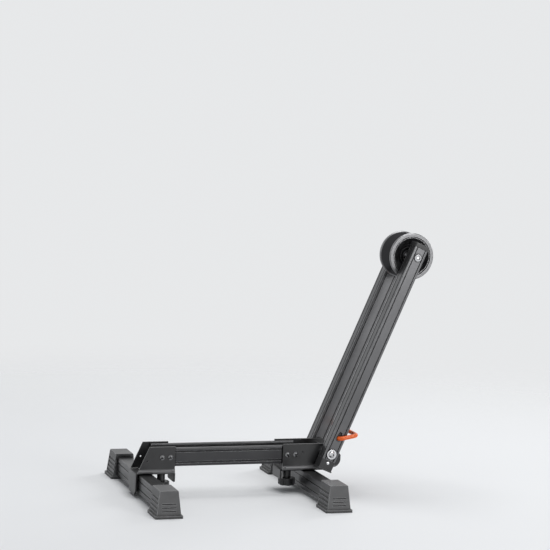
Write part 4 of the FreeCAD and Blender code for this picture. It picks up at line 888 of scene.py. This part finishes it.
def flap(end, outer_x, low_z, half, corner):
    """A sheet flap that hangs from the floor's end, with its lower corners cut."""
    outline = [(-half + corner, low_z), (half - corner, low_z), (half, low_z + corner),
               (half, FLOOR_TOP), (-half, FLOOR_TOP), (-half, low_z + corner)]
    low, high = sorted((outer_x, outer_x - end * SHEET))
    shape = along(softened(outline, [1.5, 1.5, 1.5, 0, 0, 1.5]), low, high)
    bend = edges_where(shape, lambda x, y, z: abs(x - outer_x) < 0.01 and z > FLOOR_TOP - 0.01)
    return rounded(shape, bend, 2.3, 6)


def inner_flap(end):
    """The short flap at the bracket's end that faces the stand's middle."""
    return flap(-end, end * (INNER_END - SHEET), 25.0, 20.5, 2.0)


def make_entry_bracket():
    entry = -INNER_END - 69.5
    slant = cutter([(entry - 3, FLOOR_TOP), (entry + 2.5, FLOOR_TOP), (entry + 23.5, BRACKET_TOP),
                    (entry + 23.5, 95), (entry - 3, 95)])
    shape = carved(along(channel_outline(), entry, -INNER_END), [slant, drain_hole(-148.5, 63.7)])
    shape = carved(shape, [flap(-1, entry, 4.2, PLATE_OUT, 9.0), inner_flap(-1)], "UNION")
    finished("entry_bracket", "sheet", break_edges(shape, 0.35))


def stop_slot():
    """The curved slot that the stop pin runs in as the arm folds."""
    half, steps = 3.3, 40
    start = -math.pi / 2 - LEAN
    end = start + FOLD
    path = arc(PIVOT_X, PIVOT_Z, STOP_REACH, start, end, steps)
    outline = arc(PIVOT_X, PIVOT_Z, STOP_REACH + half, start, end, steps)
    outline += arc(*path[-1], half, end, end + math.pi, 12)[1:-1]
    outline += arc(PIVOT_X, PIVOT_Z, STOP_REACH - half, end, start, steps)
    outline += arc(*path[0], half, start + math.pi, start + 2 * math.pi, 12)[1:-1]
    return cutter(outline)


def make_pivot_bracket():
    back, under_z, curve = PIVOT_X + 28.0, 59.5, 14.0
    slant = cutter([(back, 67.0), (back + 3, 67.0), (back + 3, 95.0), (back - 18, 95.0),
                    (back - 18, BRACKET_TOP)])
    under = cutter([(back + 3, under_z)] + arc(back - curve, under_z, curve, 0.0, -math.pi / 2, 10)
                   + [(PIVOT_X + 12.0, 45.5), (PIVOT_X + 12.0, 35.0), (back + 3, 35.0)])
    shape = carved(along(channel_outline(), INNER_END, back),
                   [slant, under, stop_slot(), drain_hole(136.3, 73.8)])
    shape = carved(shape, [inner_flap(1)], "UNION")
    finished("pivot_bracket", "sheet", break_edges(shape, 0.35))


# Rubber feet and pads

def foot_ring(inset, ribbed, end, side):
    """One section of a foot: its flanks lean in, and carry lengthwise grooves if ribbed."""
    rise = FOOT_TOP - FLANGE_TOP

    def flank(z):
        return 21.0 - (z - FLANGE_TOP) * 5.0 / rise
    right = [(flank(FLANGE_TOP), FLANGE_TOP)]
    notch = 1.5 if ribbed else 0.0
    for number in range(4):
        low = 8.6 + 7.2 * number
        right += [(flank(low), low), (flank(low + 0.5) - notch, low + 0.5),
                  (flank(low + 3.0) - notch, low + 3.0), (flank(low + 4.4), low + 4.4)]
    right += [(flank(44.4), 44.4), (flank(45.6) - 0.35, 45.55), (flank(FOOT_TOP) - 1.5, FOOT_TOP)]
    ring = []
    for a, z in right + [(-a, z) for a, z in reversed(right)]:
        # Only the bar's end of the foot is square; the others lean with its outer face.
        lean = 2.5 + 4.0 * (z - FLANGE_TOP) / rise
        inward = inset + lean if inset < 50 else 54.0
        ring.append(row(end * BAR_X + a, side * (FOOT_END - inward), z))
    return ring


def make_foot(node, end, side):
    body = lofted([foot_ring(inset, ribbed, end, side) for inset, ribbed
                   in ((0.0, False), (2.6, False), (2.9, True), (54.0, True))])
    face = [edge for edge in sharp_edges(body, 57.3)
            if all(abs(vertex.co.y) * 1000.0 > FOOT_END - 7.0 for vertex in edge.verts)]
    rounded(body, face, 1.1, 3)
    slots = []
    for z in (12.0, 18.0, 24.0):
        bottom = FOOT_END - 2.5 - 4.0 * z / FOOT_TOP - 1.9
        slots.append(prism(oblong((-12.5, z - 0.85), (12.5, z + 0.85), 0.8),
                           lambda a, b, depth: row(end * BAR_X + a, depth, b),
                           *sorted((side * bottom, side * (FOOT_END + 2.0)))))
    flange = prism(oblong((-24.0, 131.0), (24.0, FOOT_END), 2.5, 5),
                   lambda a, b, depth: row(end * BAR_X + a, side * b, depth), 0.0, FLANGE_TOP)
    rounded(flange, edges_where(flange, lambda x, y, z: z > FLANGE_TOP - 0.01), 0.9, 3)
    finished(node, "rubber", together(carved(body, slots), flange))


def make_pads():
    for name, end in ENDS:
        outline = [(-19.3, FLOOR_TOP), (19.3, FLOOR_TOP), (22.5, FLOOR_TOP + 3.2), (22.5, 52.6),
                   (15.0, 52.6), (4.5, 48.0), (-4.5, 48.0), (-15.0, 52.6), (-22.5, 52.6),
                   (-22.5, FLOOR_TOP + 3.2)]
        outline = softened(outline, [1, 1, 1, 1.2, 1.5, 3, 3, 1.5, 1.2, 1], 4)
        low, high = sorted((end * INNER_END, end * (INNER_END + 34.0)))
        pad = along(outline, low, high)
        nose = edges_where(pad, lambda x, y, z: abs(x - end * INNER_END) < 0.01 and z > 47.5)
        finished("tyre_pad_" + name, "rubber", rounded(pad, nose, 1.8, 4), "pad_rubber")


# Pivot, roller and handle

def make_roller():
    rim, half, edge = 42.0, 26.5, 1.4
    profile = [(16.0, 8.0), (rim - edge, 21.0), (rim, 21.0 + edge), (rim, half - edge),
               (rim - edge, half), (35.6, half), (35.6, half - 1.4), (34.7, half - 1.4),
               (34.7, half - 0.7), (32.9, half - 0.7), (20.2, 12.2), (16.0, 12.2)]
    soft = softened(profile, [0.3, 0.8, 0.8, 0.8, 0.9, 0.5, 0.1, 0.1, 0.35, 0.9, 3.0, 0.3], 4)
    for name, side in SIDES:
        shape = turned([(radius, side * height) for radius, height in soft], AXLE_X, AXLE_Z, 192)
        finished("roller_flange_" + name, "dish", shape)
    hub = [(16.0, -12.2), (16.0, 12.2), (11.0, 12.2), (11.0, 5.2), (9.2, 5.2), (9.2, -5.2),
           (11.0, -5.2), (11.0, -12.2)]
    finished("roller_hub", "core", turned(softened(hub, 0.3), AXLE_X, AXLE_Z, 96))


def turned_pair(profile, radius, x, z):
    """A ring turned from a softened profile, on the near side and on the far side."""
    soft = softened(profile, radius)
    return [turned([(out, side * height) for out, height in soft], x, z) for side in (-1, 1)]


def turned_pin(half, x, z, steps):
    """A pin across the stand, from half of its profile that starts at its far end."""
    profile = [(radius, -height) for radius, height in half] + half[::-1]
    return turned(profile, x, z, steps, closed=False)


def make_turned_steel():
    """Bearings, sleeves, washers and pins, all turned about axes across the stand."""
    outer = [(11.0, 12.2), (9.6, 12.2), (9.6, 5.2), (11.0, 5.2)]
    shield = [(9.6, 11.9), (5.9, 11.9), (5.9, 5.5), (9.6, 5.5)]
    inner = [(5.9, 12.2), (4.05, 12.2), (4.05, 5.2), (5.9, 5.2)]
    rings = [ring for profile in (outer, shield, inner)
             for ring in turned_pair(profile, 0.2, AXLE_X, AXLE_Z)]
    finished("roller_bearings", "pair", together(*rings))
    sleeve = [(6.0, 12.5), (6.0, 29.5), (4.0, 29.5), (4.0, 12.5)]
    finished("axle_sleeves", "pair", together(*turned_pair(sleeve, 0.3, AXLE_X, AXLE_Z)))
    washer = [(8.8, ARM_OUT), (8.8, 55.1), (4.0, 55.1), (4.0, ARM_OUT)]
    finished("pivot_washers", "pair", together(*turned_pair(washer, 0.4, PIVOT_X, PIVOT_Z)))
    stop_x = PIVOT_X - STOP_REACH * math.sin(LEAN)
    stop_z = PIVOT_Z - STOP_REACH * math.cos(LEAN)
    stop_half = [(0.0, 54.7), (1.9, 54.7), (2.6, 54.4), (3.0, 53.8)]
    finished("stop_pin", "rod", turned_pin(stop_half, stop_x, stop_z, 48))
    pad_half = [(0.0, 28.2), (1.1, 28.2), (1.6, 27.6)]
    pins = [turned_pin(pad_half, end * (INNER_END + 4.0), 47.2, 32) for end in (-1, 1)]
    finished("pad_pins", "pair", together(*pins), "blackened_steel")


def make_fasteners():
    """Screws, bolts and nuts, set on their spots by one tree for heads and one for nuts."""
    heads, nuts = button_screw_tree(), nut_tree()
    near, far, up, down = (Vector(way) for way in ((0, -1, 0), (0, 1, 0), (0, 0, 1), (0, 0, -1)))
    washer_out = 55.1
    rail_spots = [(row(end * (INNER_END + 8.5 + 15.0 * number), side * PLATE_OUT, RAIL_MID_Z),
                   Vector((0, side, 0)))
                  for end in (-1, 1) for side in (-1, 1) for number in range(2)]

    def bar_spots(z, way):
        return [(row(end * BAR_X, side * 15.0, z), way) for end in (-1, 1) for side in (-1, 1)]
    for node, form, tree, finish, spots, sizes in (
            ("rail_screws", "row", heads, "blackened_steel", rail_spots,
             millimetres(Head_Diameter=9.2, Head_Height=2.6, Key_Flats=3.4,
                         Shank_Diameter=5.0, Shank_Length=9.5)),
            ("cross_bar_bolts", "row", heads, "blackened_steel", bar_spots(FLOOR_TOP, up),
             millimetres(Head_Diameter=11.0, Head_Height=3.4, Key_Flats=4.2,
                         Shank_Diameter=6.0, Shank_Length=40.0)),
            ("cross_bar_nuts", "row", nuts, "blackened_steel", bar_spots(BAR_LOW, down),
             millimetres(Flats=10.0, Height=4.6, Bore=6.0)),
            ("pivot_bolt", "button", heads, "bright_steel",
             [(row(PIVOT_X, -washer_out, PIVOT_Z), near)],
             millimetres(Head_Diameter=11.0, Head_Height=5.0, Key_Flats=5.0,
                         Shank_Diameter=7.7, Shank_Length=117.0)),
            ("axle_bolt", "button", heads, "bright_steel",
             [(row(AXLE_X, -ARM_OUT, AXLE_Z), near)],
             millimetres(Head_Diameter=12.6, Head_Height=4.2, Key_Flats=6.0,
                         Shank_Diameter=7.7, Shank_Length=113.8)),
            ("pivot_nut", "hex", nuts, "bright_steel",
             [(row(PIVOT_X, washer_out, PIVOT_Z), far)],
             millimetres(Flats=13.0, Height=7.5, Bore=8.0)),
            ("axle_nut", "hex", nuts, "bright_steel",
             [(row(AXLE_X, ARM_OUT, AXLE_Z), far)],
             millimetres(Flats=13.0, Height=7.5, Bore=8.0))):
        finished(node, form, grown(tree, points_facing(spots), finish, sizes), finish)


def make_handle():
    """The orange rod: a U square to the arm, tipped up, with its ends in the arms' slots."""
    tip = LEAN - math.radians(33.0)
    foot_x = PIVOT_X + HANDLE_UP * math.sin(LEAN)
    foot_z = PIVOT_Z + HANDLE_UP * math.cos(LEAN)
    end_y, leg_y, reach = 39.0, 59.25, 33.0
    corners = [(0.0, -end_y), (0.0, -leg_y), (reach, -leg_y), (reach, leg_y), (0.0, leg_y),
               (0.0, end_y)]
    points = [row(foot_x + out * math.cos(tip), y, foot_z - out * math.sin(tip))
              for out, y in corners]
    line = bpy.data.meshes.new("rod_line")
    line.from_pydata([tuple(point) for point in points],
                     [(number, number + 1) for number in range(len(points) - 1)], [])
    shape = grown(rod_tree(), line, "orange_coat", millimetres(Rod_Diameter=7.5, Bend_Radius=7.0))
    finished("release_handle", "rod", shape)


def make_springs():
    """Coils that push the latches down; they shorten as the handle lifts the latches."""
    tree = coil_tree()
    up = Vector((math.sin(LEAN), 0.0, math.cos(LEAN)))
    sizes = millimetres(Coil_Diameter=14.0, Wire_Diameter=1.5, Length=25.0)
    sizes["Turns"] = 6.5
    for name, side in SIDES:
        spot = [(on_arm(0.0, side * ARM_MID, HANDLE_UP + 10.0), up)]
        shape = grown(tree, points_facing(spot), "bright_steel", sizes)
        coil = finished("latch_spring_" + name, "coil", shape)
        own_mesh(coil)


def dress_plain_nodes():
    """Nodes whose CAD form is right: the same shape with broken edges and its finish."""
    for node in BODY_OF:
        if not frame["nodes"][node].hide_render:
            finished(node, "piece", break_edges(merged_copy(node), 0.25))


FINISHES = make_finishes()
set_camera()
set_room()
make_cross_bars()
make_rails()
make_arms()
make_arm_fittings()
make_entry_bracket()
make_pivot_bracket()
for end_name, end in ENDS:
    for side_name, side in SIDES:
        make_foot("foot_%s_%s" % (end_name, side_name), end, side)
make_pads()
make_roller()
make_turned_steel()
make_fasteners()
make_handle()
make_springs()
dress_plain_nodes()

bpy.context.scene.view_settings.view_transform = "Standard"
